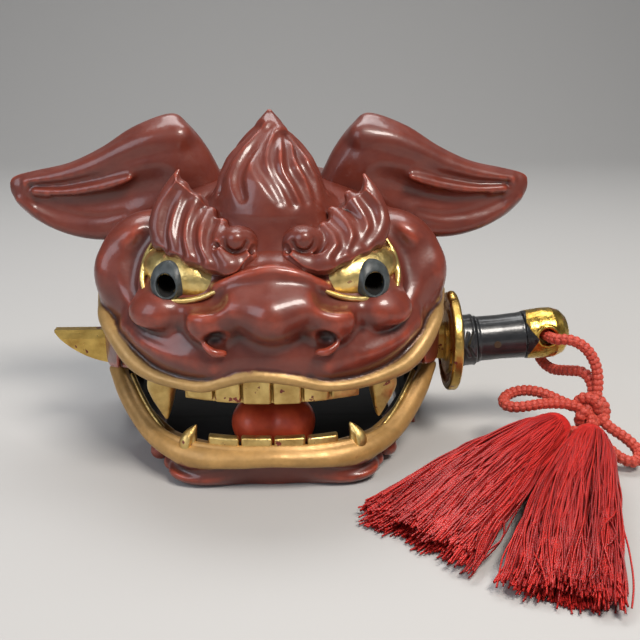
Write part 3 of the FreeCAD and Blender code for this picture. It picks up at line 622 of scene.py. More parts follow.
# ---- horn ----------------------------------------------------------------
HORN_PROFILE = [(95.0, 23.0), (100.0, 23.4), (107.0, 23.8), (113.0, 23.8), (118.0, 22.7), (126.0, 20.4),
                (132.0, 17.4), (137.0, 13.6),
                (141.0, 9.8), (144.5, 6.2), (148.0, 2.8), (150.2, 0.7)]
HORN_GROOVES = [
    [(-19.5, -26, 119.5, 0.6), (-19.5, -24.5, 126, 1.3), (-15.5, -22.5, 133.5, 1.4),
     (-10.0, -19, 139.5, 1.2), (-4.5, -15.5, 144.5, 0.7)],
    [(-10.5, -38, 119.5, 0.7), (-12.5, -33.5, 126.5, 1.6), (-10.5, -30, 132.5, 1.7),
     (-6.4, -25, 138, 1.4), (-2.5, -19.5, 143.5, 0.7)],
    [(4.5, -41.5, 119.0, 0.7), (0.5, -38.5, 126, 1.5), (-3.5, -34.0, 132, 1.6), (-3.0, -27.0, 138, 1.3),
     (0.5, -18.5, 144.5, 0.7)],
    [(9.5, -39.5, 117.5, 0.7), (6.5, -38.0, 124, 1.2), (2.5, -34.5, 130.5, 1.3),
     (1.8, -28.5, 136.5, 1.1), (4.0, -20.5, 141.5, 0.6)],
    [(14.5, -36.5, 118.0, 0.7), (12.0, -35.0, 124, 1.3), (8.2, -32.5, 130.5, 1.3),
     (7.4, -26.0, 136.5, 1.0), (6.2, -18.5, 141.5, 0.5)],
    [(18.5, -31.5, 118.5, 0.7), (16.5, -29.5, 125, 1.3), (12.8, -27.0, 131.5, 1.3),
     (10.5, -20.0, 137.0, 0.8), (7.5, -16.5, 141.0, 0.5)],
]
REAR_GROOVES = 6


def horn_form(x, y, z):
    heights = [h for h, r in HORN_PROFILE]
    radius = np.interp(z, heights, [r for h, r in HORN_PROFILE])
    lean = 9.0 * np.clip((z - 118.0) / 31.0, 0, 1) ** 2
    around = np.hypot(x, y - HORN_Y - lean) - radius
    slope = np.interp(z, heights, [1.0, 1.0, 1.0, 1.0, 0.96, 0.92, 0.82, 0.74, 0.7, 0.68, 0.66, 0.66])
    return np.maximum(around * slope, np.maximum(95.0 - z, z - 150.4))


def make_horn():
    clay = Clay((-38, -56, 90), (38, 20, 153), 0.55)
    clay.field[:] = horn_form(*np.meshgrid(*clay.axes, indexing="ij", sparse=True))
    clay.add(whole(grown(-0.5)), 9)
    clay.keep(whole(lambda x, y, z: np.hypot(x, y - HORN_Y) - 36.0), 0.3)
    clay.cut(whole(grown(-3.5)), 0.3)
    for groove in HORN_GROOVES:
        clay.cut(tube([(x, y - 0.4, z, r * 1.5) for x, y, z, r in groove]), 3.0)
    for i in range(REAR_GROOVES):
        turn = math.radians(70 + 220 * (i + 0.5) / REAR_GROOVES)
        rows = []
        for z, r, twist in ((119, 0.7, 0.0), (126, 1.6, -0.14), (132, 1.7, -0.2), (138, 1.4, -0.05),
                            (144, 0.7, 0.2)):
            reach = np.interp(z, [h for h, q in HORN_PROFILE], [q for h, q in HORN_PROFILE])
            lean = 9.0 * max((z - 118) / 31, 0) ** 2
            rows.append((reach * math.sin(turn + twist), HORN_Y + lean - reach * math.cos(turn + twist),
                         z, r))
        clay.cut(tube(rows), 2.6)
    clay.cut(whole(lambda x, y, z: np.maximum(np.hypot(x, y - HORN_Y) - 22.0, z - HORN_Z)), 0.3)
    clay.add(tube([(0, HORN_Y, HORN_Z - 9, 5.0), (0, HORN_Y, HORN_Z + 2, 5.0)], 1), 0.3)
    horn = cast(clay, "carved_horn")
    paint_hollows(horn)
    return horn


settle(make_horn(), "head", RED, "horn_flame", slot="red_lacquer")

# ---- brows ---------------------------------------------------------------
LEFT_BROW = [
    [(-43.0, -33.5, 101.5, 3.6), (-43.6, -31.0, 107.5, 4.0), (-42.0, -27.8, 114.5, 3.6),
     (-39.0, -26.0, 121.5, 2.4), (-35.9, -25.0, 128.0, 0.6)],
    [(-37.0, -38.0, 99.5, 4.0), (-38.0, -35.0, 105.0, 4.2), (-37.2, -30.5, 112.0, 3.9),
     (-35.0, -27.5, 118.5, 2.5), (-34.0, -26.4, 122.0, 1.6)],
    [(-30.0, -43.0, 98.0, 4.2), (-32.0, -39.0, 103.0, 4.4), (-31.8, -33.5, 109.5, 4.0),
     (-30.2, -29.4, 114.5, 2.8), (-28.8, -27.8, 117.0, 1.8)],
    [(-22.5, -47.0, 96.5, 4.0), (-25.8, -43.0, 101.0, 4.3), (-26.4, -38.0, 106.5, 3.8),
     (-24.8, -33.6, 110.6, 2.8), (-22.9, -31.6, 112.6, 1.8)],
    [(-15.5, -50.0, 95.5, 3.2), (-19.0, -46.5, 99.5, 3.6), (-20.0, -42.0, 104.5, 3.2),
     (-18.5, -37.5, 109.0, 2.2)],
]
RIGHT_BROW = [
    [(42.0, -33.5, 101.5, 3.6), (44.0, -31.0, 107.0, 3.6), (43.3, -28.5, 112.5, 3.2),
     (40.6, -26.5, 119.0, 2.7), (37.6, -25.2, 125.8, 0.7)],
    [(35.5, -38.5, 99.5, 4.2), (38.5, -35.0, 104.5, 4.2), (37.6, -31.5, 109.5, 3.6),
     (34.0, -28.8, 114.6, 3.0), (31.4, -27.0, 118.2, 1.8)],
    [(28.5, -43.5, 98.0, 4.2), (31.5, -40.0, 102.0, 4.2), (31.0, -37.0, 106.5, 3.6),
     (27.4, -33.2, 110.2, 3.1), (24.8, -31.4, 112.4, 2.0)],
    [(21.5, -47.5, 96.0, 4.0), (25.0, -44.5, 100.0, 3.8), (24.6, -41.5, 104.0, 3.0),
     (21.5, -38.5, 107.8, 2.2)],
]
LEFT_BODY = [(6, 99), (12, 93.5), (17, 92), (26, 95.5), (36, 98.5), (44, 101), (45.5, 108), (42.5, 116),
             (37, 127), (29.5, 120.5), (23, 114), (17, 108), (10, 108)]
RIGHT_BODY = [(6, 99), (12, 94.5), (18, 92.5), (26, 95.0), (36, 98.5), (44, 101.5), (46, 108),
              (43.5, 115), (38, 123), (33, 118), (26, 112.5), (19, 108), (10, 108)]
LEFT_CREASES = [
    [(-40.2, -38.5, 100.5, 0.5), (-41.0, -35.0, 106.5, 1.0), (-39.5, -31.5, 114.0, 1.0),
     (-36.5, -29.0, 121.0, 0.6)],
    [(-33.8, -43.5, 99.0, 0.5), (-35.2, -39.5, 105.0, 1.1), (-34.6, -34.5, 111.5, 1.1),
     (-32.0, -30.5, 118.0, 0.6)],
    [(-26.8, -47.5, 98.0, 0.5), (-29.2, -43.5, 103.0, 1.1), (-29.4, -38.0, 109.0, 1.1),
     (-26.6, -33.0, 114.5, 0.6)],
    [(-20.0, -51.0, 97.0, 0.5), (-22.8, -47.0, 101.5, 1.0), (-23.4, -42.0, 106.0, 1.0),
     (-21.4, -37.5, 110.5, 0.6)],
]
RIGHT_CREASES = [
    [(37.0, -40.5, 102.5, 0.4), (40.8, -35.5, 107.0, 1.0), (39.8, -32.0, 112.5, 1.1),
     (36.0, -29.0, 119.0, 0.8)],
    [(31.5, -44.5, 100.5, 0.4), (34.6, -40.0, 105.0, 1.0), (32.8, -36.0, 110.5, 1.1),
     (28.6, -32.5, 115.0, 0.9)],
    [(25.0, -48.0, 98.5, 0.4), (28.2, -44.5, 102.5, 1.0), (26.8, -41.0, 107.0, 1.0),
     (22.8, -37.0, 110.5, 0.8)],
]


def make_brow(name, outline, strands, creases, side):
    clay = Clay((-51 if side < 0 else 2, -58, 86), (-2 if side < 0 else 51, -18, 134), 0.42)
    base = [(side * x, on_dome(x, z, 1.2), z, r) for x, z,
            r in ((8, 98, 3.4), (14, 95, 4.4), (20, 95.5, 4.6), (27, 98, 4.4), (35, 100.5, 4.0),
                  (43, 103, 3.0))]
    outline = [(side * x, z) for x, z in outline]

    def body(x, y, z):
        sheet = np.minimum(grown(5.2)(x, y, z), np.abs(y + 26.5) - 3.0)
        return np.maximum(sheet, outline_distance(outline, x[:, 0, :], z[0])[:, None, :] + 1.2)
    clay.add(whole(body), 1)
    clay.add(tube(base), 1)
    for strand in strands:
        clay.add(tube([(x, y, z, r * 1.08) for x, y, z, r in strand]), 3.0)
    for crease in creases:
        clay.cut(tube([(x, y - 2.0, z, r * 0.9) for x, y, z, r in crease]), 3.4)
    clay.add(ball((side * 12.5, -42.5, 102.5), (8.0, 6.5, 7.0)), 2)
    for reach, start, end in ((4.4, 3.4, 6.2), (7.6, 3.6, 6.0)):
        swirl = [(side * (13.0 + reach * math.cos(t)), -49.2 + 0.3 * reach, 104.8 + reach * math.sin(t),
                  0.8)
                 for t in np.linspace(start, end, 8)]
        clay.cut(tube(swirl), 2.2)
    clay.add(ball((side * 13.0, -46.2, 105.2), (3.2, 3.0, 3.0)), 1.6)
    clay.cut(whole(lambda x, y, z: np.hypot(x, y - HORN_Y) - 24.4), 0.4)
    clay.keep(whole(lambda x, y, z: -grown(-2.0)(x, y, z)), 0.3)
    brow = cast(clay, name)
    paint_hollows(brow, scale=9.0)
    return brow


settle(make_brow("brow_left_carving", LEFT_BODY, LEFT_BROW, LEFT_CREASES, -1), "head", RED, "brow_left",
       slot="red_lacquer")
settle(make_brow("brow_right_carving", RIGHT_BODY, RIGHT_BROW, RIGHT_CREASES, 1), "head", RED,
       "brow_right", slot="red_lacquer")

# ---- eyes ----------------------------------------------------------------
EYE = [(15.5, 89.5), (20.0, 86.0), (26.0, 83.2), (33.0, 81.4), (41.0, 80.8), (49.5, 81.5), (53.0, 86.5),
       (51.5, 95.0), (47.0, 101.5),
       (42.0, 101.0), (36.0, 98.8), (29.0, 96.5), (21.0, 93.0)]
LID = [(15.0, 89.8, 0.6), (20.0, 86.3, 0.95), (26.0, 83.4, 1.1), (33.0, 81.6, 1.2), (41.0, 80.9, 1.2),
       (48.5, 81.6, 1.0)]
FOLD = [(50.0, 82.5, 0.9), (51.0, 88.0, 1.2), (49.6, 95.0, 1.2), (46.5, 100.5, 0.8)]


def sight_hole(side, x0=SIGHT_X, radius=3.8, tall=1.0):
    return whole(lambda x, y, z: np.hypot(x - side * x0, (z - SIGHT_Z) / tall) - radius)


def make_eye(name, side):
    clay = Clay((-56 if side < 0 else 12, -56, 77), (-12 if side < 0 else 56, -26, 104), 0.4)
    bulge = ball((side * 33.0, -34.5, 89.0), (19.0, 12.5, 10.0), (0, -side * 12, side * 24))
    clay.add(bulge, 1)
    clay.add(whole(grown(-1.6)), 3)
    clay.keep(whole(lambda x, y, z: -grown(-3.4)(x, y, z)), 0.3)
    clay.keep(front_cut([(side * x, z) for x, z in EYE]), 0.6)
    clay.add(tube([(side * x, y - 0.4, z, r) for x, y, z, r in laid(LID, 1.2)]), 0.8)
    clay.add(tube([(side * x, y, z, r) for x, y, z, r in laid(FOLD, 1.2)]), 0.8)
    clay.cut(sight_hole(side), 0.4)
    eye = cast(clay, name)
    paint_hollows(eye)
    return eye


def make_pupil(name, side):
    """Raised ring round the sight hole, its inner edge turned in."""
    clay = Clay((-49 if side < 0 else 29, -58, 76), (-29 if side < 0 else 49, -32, 98), 0.3)
    clay.add(ball((side * 38.6, -40.6, SIGHT_Z + 0.6), (7.7, 10.5, 8.6), (0, 0, side * 26)), 1)
    clay.keep(whole(lambda x, y, z: -grown(-0.5)(x, y, z)), 0.3)
    clay.keep(whole(grown(6.0)), 2.4)
    clay.cut(sight_hole(side, SIGHT_X, 3.9, 1.15), 0.8)
    ring = cast(clay, name)
    paint_hollows(ring)
    return ring


def make_shade_sheet(name, side):
    """Thin black sheet behind the sight hole, as painted shade."""
    clay = Clay((-46 if side < 0 else 31, -48, 79), (-31 if side < 0 else 46, -14, 95), 0.4)
    clay.add(whole(lambda x, y, z: np.abs(grown(-WALL - 0.8)(x, y, z)) - 0.6), 0.2)
    clay.keep(sight_hole(side, SIGHT_X, 6.0), 0.3)
    return cast(clay, name)


for label, side in SIDES:
    settle(make_shade_sheet("shade_sheet_" + label, side), "head", SHADE_SHEET)
    settle(make_eye("eye_" + label + "_gilded", side), "head", EYE_GOLD, "eye_plate_" + label,
           slot="gilding")
    settle(make_pupil("pupil_" + label + "_ring", side), "head", PUPIL, "pupil_ring_" + label,
           slot="dark_metal")

# ---- ears ----------------------------------------------------------------
# Rows of share from root to tip, lowest and highest Z, half thickness.
EAR = [(-0.15, 100.0, 118.0, 5.0), (-0.07, 101.0, 131.0, 9.0), (0.03, 101.5, 141.5, 12.0),
       (0.12, 100.0, 146.0, 13.0), (0.32, 94.5, 140.5, 11.5), (0.50, 90.5, 131.5, 9.5), (0.68, 92.0,
               124.8, 7.5),
       (0.86, 98.0, 121.5, 5.5), (0.96, 105.0, 119.5, 3.6), (1.00, 110.5, 117.5, 1.6), (1.01, 113.5,
               114.5, 0.4)]
EAR_ROOT, EAR_TIP, EAR_Y = 34.0, 116.0, 23.0


def ear_table(x, side):
    share = (side * x - EAR_ROOT) / (EAR_TIP - EAR_ROOT)
    rows = smooth_line(EAR, 12)
    return [np.interp(share, rows[:, 0], rows[:, i]) for i in (1, 2, 3)]


def ear_line(side, rows):
    """Bars on the ear's front: (x, share of the height from the lower edge, forward, radius)."""
    out = []
    for x, up, forward, r in rows:
        low, high, thick = (float(v) for v in ear_table(np.array(side * x), side))
        level = 2 * up - 1
        y = EAR_Y - thick * math.sqrt(max(1 - level ** 2, 0.0)) - forward
        out.append((side * x, y, low + up * (high - low), r))
    return out


def make_ear(name, side):
    clay = Clay((-122 if side < 0 else 20, 2, 84), (-20 if side < 0 else 122, 40, 152), 0.62)

    def leaf(x, y, z):
        low, high, thick = ear_table(x, side)
        middle, tall = (low + high) / 2, (high - low) / 2
        k0 = np.sqrt(((y - EAR_Y) / thick) ** 2 + ((z - middle) / tall) ** 2)
        k1 = np.sqrt(((y - EAR_Y) / thick ** 2) ** 2 + ((z - middle) / tall ** 2) ** 2)
        ends = np.maximum(EAR_ROOT - 12 - side * x, side * x - EAR_TIP - 0.6)
        return np.maximum(k0 * (k0 - 1) / np.maximum(k1, 1e-5) * 0.9, ends)
    clay.field[:] = leaf(*np.meshgrid(*clay.axes, indexing="ij", sparse=True))
    clay.cut(tube(ear_line(side, [(50, 0.42, 5.0, 5.5), (60, 0.40, 3.2, 7.0), (70, 0.42, 2.6, 6.4),
                                  (82, 0.44, 2.2, 5.2), (94, 0.46, 1.8, 3.4),
                                  (104, 0.5, 1.4, 1.6)])), 6)
    clay.add(tube(ear_line(side, [(44, 0.12, -2.0, 3.6), (58, 0.08, -1.5, 3.6), (72, 0.08, -1.2, 3.4),
                                  (86, 0.10, -1.0, 2.8), (100, 0.14, -0.8, 2.2),
                                  (112, 0.3, -0.8, 1.4)])), 2.5)
    clay.add(tube(ear_line(side, [(40, 0.80, -4.5, 6.0), (52, 0.80, -3.4, 5.4), (64, 0.82, -2.4, 4.2),
                                  (78, 0.85, -1.8, 3.4), (92, 0.86, -1.2, 2.6),
                                  (108, 0.8, -0.8, 1.4)])), 3)
    clay.cut(tube(ear_line(side, [(64, 0.66, 1.8, 0.4), (72, 0.68, 0.8, 1.0), (78, 0.70, 0.2, 1.4),
                                  (92, 0.72, 0.2, 1.1), (106, 0.72, 0.1, 0.5)])), 3.4)
    clay.add(tube(ear_line(side, [(62, 0.55, 0.4, 0.8), (70, 0.57, -0.8, 1.9), (78, 0.60, -1.0, 1.9),
                                  (92, 0.62, -0.6, 1.4), (104, 0.62, -0.4, 0.8)])), 4)
    clay.cut(tube(ear_line(side, [(60, 0.46, 0.0, 0.7), (70, 0.49, -0.4, 1.3), (82, 0.52, -0.4, 1.2),
                                  (96, 0.54, -0.2, 0.7)])), 3.2)
    clay.cut(tube(ear_line(side, [(66, 0.24, 0.0, 0.7), (78, 0.27, -0.2, 1.2), (92, 0.32, -0.2, 1.0),
                                  (104, 0.4, 0.0, 0.5)])), 3.2)
    clay.cut(whole(grown(-1.0)), 0.5)
    ear = cast(clay, name)
    paint_hollows(ear)
    return ear


for label, side in SIDES:
    settle(make_ear("ear_" + label + "_carving", side), "head", RED, "ear_" + label, slot="red_lacquer")

# ---- teeth ---------------------------------------------------------------
def tooth(x0, x1, z0, z1, front, back, form):
    """Rounded block between two X and two Z, its faces following a curved form."""
    def distance(x, y, z):
        depth = form(x, y, z)
        gaps = [np.abs(x - (x0 + x1) / 2) - (x1 - x0) / 2, np.abs(z - (z0 + z1) / 2) - (z1 - z0) / 2,
                np.abs(depth - (front + back) / 2) - (front - back) / 2]
        gaps = [g + 1.0 for g in gaps]
        outside = np.sqrt(sum(np.maximum(g, 0) ** 2 for g in gaps))
        return outside + np.minimum(np.maximum(np.maximum(gaps[0], gaps[1]), gaps[2]), 0) - 1.0
    return whole(distance)


def spike(root, tip, radius, faces, turn):
    """Pointed tooth with flat sides that meet at the tip."""
    root, tip = Vector(root), Vector(tip)
    down = (tip - root).normalized()
    side = down.cross(Vector((0, 1, 0))).normalized()
    front = side.cross(down)
    slope = math.atan2(radius, (tip - root).length)
    planes = []
    for i in range(faces):
        a = math.radians(turn) + 2 * math.pi * i / faces
        planes.append(np.array((front * math.cos(a) + side * math.sin(a)) * math.cos(slope)
                               + down * math.sin(slope)))

    def distance(x, y, z):
        out = None
        for n in planes:
            d = (x - tip.x) * n[0] + (y - tip.y) * n[1] + (z - tip.z) * n[2]
            out = d if out is None else -soft_min(-out, -d, 1.0)
        back = (x - root.x) * -down.x + (y - root.y) * -down.y + (z - root.z) * -down.z
        return -soft_min(-out, -back, 2.0)
    return whole(distance)


def make_upper_teeth():
    clay = Clay((-38, -64, 36), (38, -36, 54), 0.36)
    edges = (-34.5, -23.0, -12.0, 0.0, 12.0, 23.0, 34.5)
    drops = (41.4, 40.9, 40.6, 40.5, 41.0, 41.7)
    for x0, x1, z0 in zip(edges, edges[1:], drops):
        top = np.interp((x0 + x1) / 2, [r[0] for r in LIP], [r[1] for r in LIP]) - 0.3
        clay.add(tooth(x0 + 0.42, x1 - 0.42, z0, top, 1.3, -3.6, grown(0.0)), 0.3)
    gum = whole(lambda x, y, z: np.maximum(np.maximum(np.abs(grown(-3.4)(x, y, z)) - 1.9,
                                                      np.abs(z - 44.5) - 4.3), np.abs(x) - 35))
    clay.add(gum, 0.4)
    row = cast(clay, "upper_teeth")
    paint_hollows(row)
    return row


def make_lower_teeth():
    clay = Clay((-30, -56, 14), (30, -34, 26), 0.34)
    edges = (-27.0, -13.5, 0.0, 13.5, 27.0)
    for x0, x1, z1 in zip(edges, edges[1:], (23.2, 23.6, 23.5, 23.0)):
        clay.add(tooth(x0 + 0.45, x1 - 0.45, 16.4, z1, -3.6, -8.0, grown(0.0)), 0.3)
    row = cast(clay, "lower_teeth")
    paint_hollows(row)
    return row


settle(make_upper_teeth(), "head", TEETH_GOLD, "upper_tooth_row", slot="gilding")
settle(make_lower_teeth(), "jaw", TEETH_GOLD, "lower_tooth_row", slot="gilding")


def make_upper_fang(name, side):
    clay = Clay((-54 if side < 0 else 36, -49, 24), (-36 if side < 0 else 54, -31, 51), 0.34)
    clay.add(spike((side * 45.4, -41.8, 49.5), (side * 43.4, -38.9, 25.4), 8.4, 5, 36), 0.4)
    clay.keep(ball((side * 45.2, -41.0, 41.0), (6.0, 5.4, 16.5), (0, -side * 5, 0)), 1.5)
    fang = cast(clay, name)
    paint_hollows(fang)
    return fang


def make_lower_fang(name, side):
    clay = Clay((-41 if side < 0 else 28, -50, 13), (-28 if side < 0 else 41, -37, 28), 0.32)
    clay.add(tube([(side * 35.2, -43.6, 16.5, 3.6), (side * 35.0, -43.6, 20.0, 3.5),
                   (side * 33.6, -43.0, 23.2, 2.2), (side * 31.8, -42.4, 26.0, 0.6)]), 0.5)
    clay.cut(tube([(side * 33.0, -47.6, 17.0, 1.4), (side * 32.6, -46.2, 22.0, 0.8)]), 1.2)
    fang = cast(clay, name)
    paint_hollows(fang)
    return fang


for label, side in SIDES:
    settle(make_upper_fang("upper_fang_" + label + "_gilded", side), "head", TEETH_GOLD,
           "upper_fang_" + label, slot="gilding")
    settle(make_lower_fang("lower_fang_" + label + "_gilded", side), "jaw", TEETH_GOLD,
           "lower_fang_" + label, slot="gilding")


# ---- jaw -----------------------------------------------------------------
JAW_LOW, JAW_HIGH, JAW_TOP, JAW_FLOOR = (50.0, 51.0), (74.0, 60.0), 36.0, 8.0
JAW_LIP = [(71.0, -1.0, 35.5, 2.4), (66.5, -11.0, 29.0, 2.8), (59.8, -21.0, 22.0, 3.0),
           (51.5, -32.0, 16.4, 3.0), (41.0, -42.5, 13.8, 3.0),
           (28.0, -49.4, 13.4, 3.0), (14.0, -52.4, 14.0, 2.8), (0.0, -53.4, 14.8, 2.6)]
JAW_FLAT = [(69.0, -2.5, 36.8, 1.8), (64.4, -12.5, 30.2, 2.2), (58.0, -22.0, 23.6, 2.4),
            (49.8, -32.4, 18.4, 2.4), (39.5, -42.4, 16.4, 2.3),
            (24.0, -48.8, 16.2, 2.2), (0.0, -51.6, 16.8, 2.0)]
JAW_RIDGE = [(66.4, -4.0, 38.2, 0.9), (62.0, -13.5, 31.8, 1.0), (56.0, -23.0, 25.2, 1.1),
             (47.8, -33.0, 20.2, 1.1), (37.0, -42.6, 18.9, 1.1),
             (20.0, -48.8, 18.7, 1.1), (0.0, -50.9, 19.0, 1.1)]
RIM = [(-FAR * 4, 17.0), (-27.0, 17.0), (-0.8, JAW_TOP), (HINGE_Y, JAW_TOP), (HINGE_Y, -1.0),
       (-FAR * 4, -1.0)]
ARM_OUT, ARM_IN = 67.5, 60.5


def both_sides(rows):
    return [(-r[0],) + tuple(r[1:]) for r in rows] + rows[-2::-1]


def bowl(x, y, z, low=JAW_LOW, high=JAW_HIGH):
    share = np.clip(z / JAW_TOP, -0.1, 1.1)
    a, b = low[0] + (high[0] - low[0]) * share, low[1] + (high[1] - low[1]) * share
    v = np.minimum(y - AXIS, 0.0)
    k0 = np.sqrt((x / a) ** 2 + (v / b) ** 2)
    k1 = np.sqrt((x / a ** 2) ** 2 + (v / b ** 2) ** 2)
    return k0 * (k0 - 1.0) / np.maximum(k1, 1e-5) * 0.9


def jaw_hollow(x, y, z):
    inner = bowl(x, y, z, (JAW_LOW[0] - 4.2, JAW_LOW[1] - WALL), (JAW_HIGH[0] - WALL, JAW_HIGH[1] - WALL))
    return np.maximum(inner, JAW_FLOOR - z)


def jaw_back_air(x, y, z):
    """Room behind the bowl: over the floor between the arms, beside them and round the cheek discs."""
    between = np.maximum(np.maximum(np.abs(x) - ARM_IN, AXIS - y), JAW_FLOOR - z)
    disc = np.hypot(y - HINGE_Y, z - HINGE_Z) - (DISC + 1.0)
    upper = np.maximum(HINGE_Y - 0.8 * DISC - y, HINGE_Z - z)
    outside = np.maximum(np.minimum(np.minimum(disc, HINGE_Y - y), upper), ARM_OUT - np.abs(x))
    return np.minimum(between, outside)


def jaw_arms(x, y, z):
    outline = [(AXIS + 8.0, 0.0), (46.0, 0.0), (HINGE_Y + 12.0, HINGE_Z), (HINGE_Y - 12.0, HINGE_Z)]
    flat = np.minimum(outline_distance(outline, y[0], z[0])[None],
                      np.hypot(y - HINGE_Y, z - HINGE_Z) - 12.0)
    return np.maximum(flat, np.abs(np.abs(x) - (ARM_IN + ARM_OUT) / 2) - (ARM_OUT - ARM_IN) / 2)


def make_jaw():
    clay = Clay((-80, -64, -2), (80, 54, 46), 0.8)
    clay.field[:] = bowl(*np.meshgrid(*clay.axes, indexing="ij", sparse=True))
    for side in (-1, 1):
        clay.add(ball((side * 28, -40, 6.5), (17, 11, 7.5)), 8)
        for x, y, z, r in ((54.5, -14.0, 8.0, 4.6), (52.0, -25.0, 6.5, 4.6), (45.5, -34.5, 5.5, 4.2),
                           (58.5, -3.0, 10.0, 4.4)):
            clay.add(ball((side * (x - 2.5), y + 1.0, z), (r, r, r * 0.9)), 2)
            if x > 50:
                clay.cut(tube([(side * (x + 2.2), y - 2.5, z + 3.4, 0.6),
                               (side * (x + 3.2), y, z + 0.5, 0.7), (side * (x + 2.0), y + 2.0, z - 2.6,
                                       0.6)]), 1.6)
    groove = both_sides([(x - 2.0, y - 2.7, z - 6.0, 1.0) for x, y, z, r in JAW_LIP[3:]])
    clay.cut(tube(groove), 5)
    clay.keep(either(side_cut(RIM), whole(lambda x, y,
                                          z: np.maximum(np.maximum(AXIS - y, y - 46.0),
                                                        z - JAW_FLOOR))), 0.8)
    clay.add(tube(both_sides(JAW_LIP), 5), 2.5)
    clay.add(tube(both_sides(JAW_FLAT), 5), 3.6)
    clay.add(tube([(x, y, z + 0.3, r * 1.15) for x, y, z, r in both_sides(JAW_RIDGE)], 5), 0.9)
    clay.cut(whole(lambda x, y, z: np.maximum(jaw_hollow(x, y, z), y - AXIS - 2.0)), 1.0)
    clay.cut(whole(jaw_back_air), 0.6)
    clay.add(whole(jaw_arms), 0.8)
    clay.cut(whole(lambda x, y, z: np.maximum(jaw_hollow(x, y, z), y - AXIS)), 0.6)
    clay.keep(whole(lambda x, y, z: -z), 0.8)
    jaw = cast(clay, "carved_jaw")
    p = coords(jaw)
    paint_hollows(jaw)
    lip = near_line(p, smooth_line(both_sides(JAW_LIP), 4)) - 0.5
    ridge = near_line(p, smooth_line(both_sides(JAW_RIDGE), 4)) - 1.2
    rim = np.interp(p[:, 1], [-27.0, -0.8], [17.0, JAW_TOP])
    top = np.maximum(np.maximum(rim - 3.0 - p[:, 2], p[:, 1] - AXIS),
                     -jaw_hollow(p[:, 0], p[:, 1], p[:, 2]) - 3.0)
    paint(jaw, "lip", np.clip(np.minimum(np.minimum(lip, ridge), top), -3, 3))
    # Painted shade: "inside" marks the bowl below the rim and the parts behind it, which turn black and matt.
    deep = np.clip((-bowl(p[:, 0], p[:, 1], p[:, 2]) - 4.2) * 2, 0, 1) * (p[:, 2] < rim - 2.0)
    deep = np.maximum(deep, (p[:, 1] > AXIS) * (p[:, 2] > 6.0) * 1.0)
    paint(jaw, "inside", deep * (p[:, 2] > 0.5))
    return jaw


settle(make_jaw(), "jaw", carved_lacquer("jaw_lacquer", "#a9834d", "#c79a5b"), "lower_jaw",
       slot="red_lacquer")


def make_tongue():
    clay = Clay((-21, -45, 6), (21, -8, 37), 0.5)
    clay.add(ball((0, -30.0, 22.0), (16.8, 12.5, 11.2)), 1)
    for side in (-1, 1):
        clay.add(ball((side * 8.6, -31.5, 22.2), (8.2, 12.0, 10.4)), 4)
    clay.add(tube([(-6, -26, 14, 7.0), (6, -26, 14, 7.0)]), 3)
    clay.add(tube([(-7, -14, 22, 7.0), (7, -14, 22, 7.0)]), 4)
    clay.cut(tube([(0, -44, 18, 0.5), (0, -43.5, 25, 0.7), (0, -39, 31.0, 0.7), (0, -32, 34.0, 0.7),
                   (0, -20, 33.5, 0.5)]), 3.0)
    clay.keep(whole(lambda x, y, z: jaw_hollow(x, y, z)), 0.5)
    tongue = cast(clay, "carved_tongue")
    paint_hollows(tongue)
    return tongue


settle(make_tongue(), "jaw", TONGUE, "tongue", slot="tongue_lacquer")


def make_side_teeth(name, side):
    """Small flat teeth along the side of the jaw, inside the lip."""
    clay = Clay((-70 if side < 0 else 36, -42, 14), (-36 if side < 0 else 70, 2, 42), 0.4)
    rows = smooth_line([(47.0, -32.5, 20.6), (53.0, -24.5, 25.0), (58.5, -15.8, 30.6),
                        (62.5, -8.5, 35.6)], 3)
    for a, b in zip(rows, rows[1:]):
        start, end = a * 0.86 + b * 0.14, a * 0.14 + b * 0.86
        clay.add(tube([(side * start[0], start[1], start[2], 1.15),
                       (side * end[0], end[1], end[2], 1.15)], 1), 0.2)
    teeth = cast(clay, name)
    paint_hollows(teeth)
    return teeth


for label, side in SIDES:
    settle(make_side_teeth("side_teeth_" + label + "_gilded", side), "jaw", TEETH_GOLD,
           "side_teeth_" + label, slot="gilding")


# ---- sword ---------------------------------------------------------------
HILT = Matrix.Translation((HILT_X, SWORD_Y, SWORD_Z)) @ Matrix.Rotation(-HILT_RISE, 4, "Y")


def place(obj, matrix):
    """Move a mesh built about the X axis to its place, in millimetres."""
    scaled = matrix.copy()
    scaled.translation = matrix.translation * MM
    obj.data.transform(scaled)
    obj.data.update()
    return obj


def round_form(profile):
    """Distance to a solid turned about X from (x, radius) rows."""
    outline = [(profile[0][0], -1.0)] + list(profile) + [(profile[-1][0], -1.0)]
    return whole(lambda x, y, z: outline_distance(outline, x + 0 * y + 0 * z, np.hypot(y, z) + 0 * x))


def on_hilt(rows, radius):
    """Points on a hilt of that radius: (x, degrees up from the front, bar radius)."""
    return [(x, -radius * math.cos(math.radians(a)), radius * math.sin(math.radians(a)), r) for x, a,
            r in rows]


def make_guard():
    clay = Clay((-2, -25, -25), (6, 25, 25), 0.5)
    clay.add(round_form([(0.0, 21.6), (0.7, 22.5), (3.9, 22.5), (4.6, 21.6), (4.6, 19.2), (3.5, 18.4),
                         (3.5, 15.2), (4.6, 14.4), (4.6, 0),
                         (0.0, 0), (0.0, 14.4), (1.0, 15.2), (1.0, 18.4), (0.0, 19.2)]), 0.4)
    for i in range(24):
        a = 2 * math.pi * i / 24
        for x in (0.7, 3.9):
            clay.cut(ball((x + (1.0 if x > 2 else -1.0), 16.8 * math.cos(a), 16.8 * math.sin(a)),
                          (1.3, 1.5, 1.5)), 0.6)
    clay.add(ball((1.6, -1.5, 22.6), (2.0, 2.6, 1.8)), 1.4)
    guard = cast(clay, "gilt_guard")
    paint_hollows(guard)
    return place(guard, Matrix.Translation((GUARD_X, SWORD_Y, SWORD_Z)))


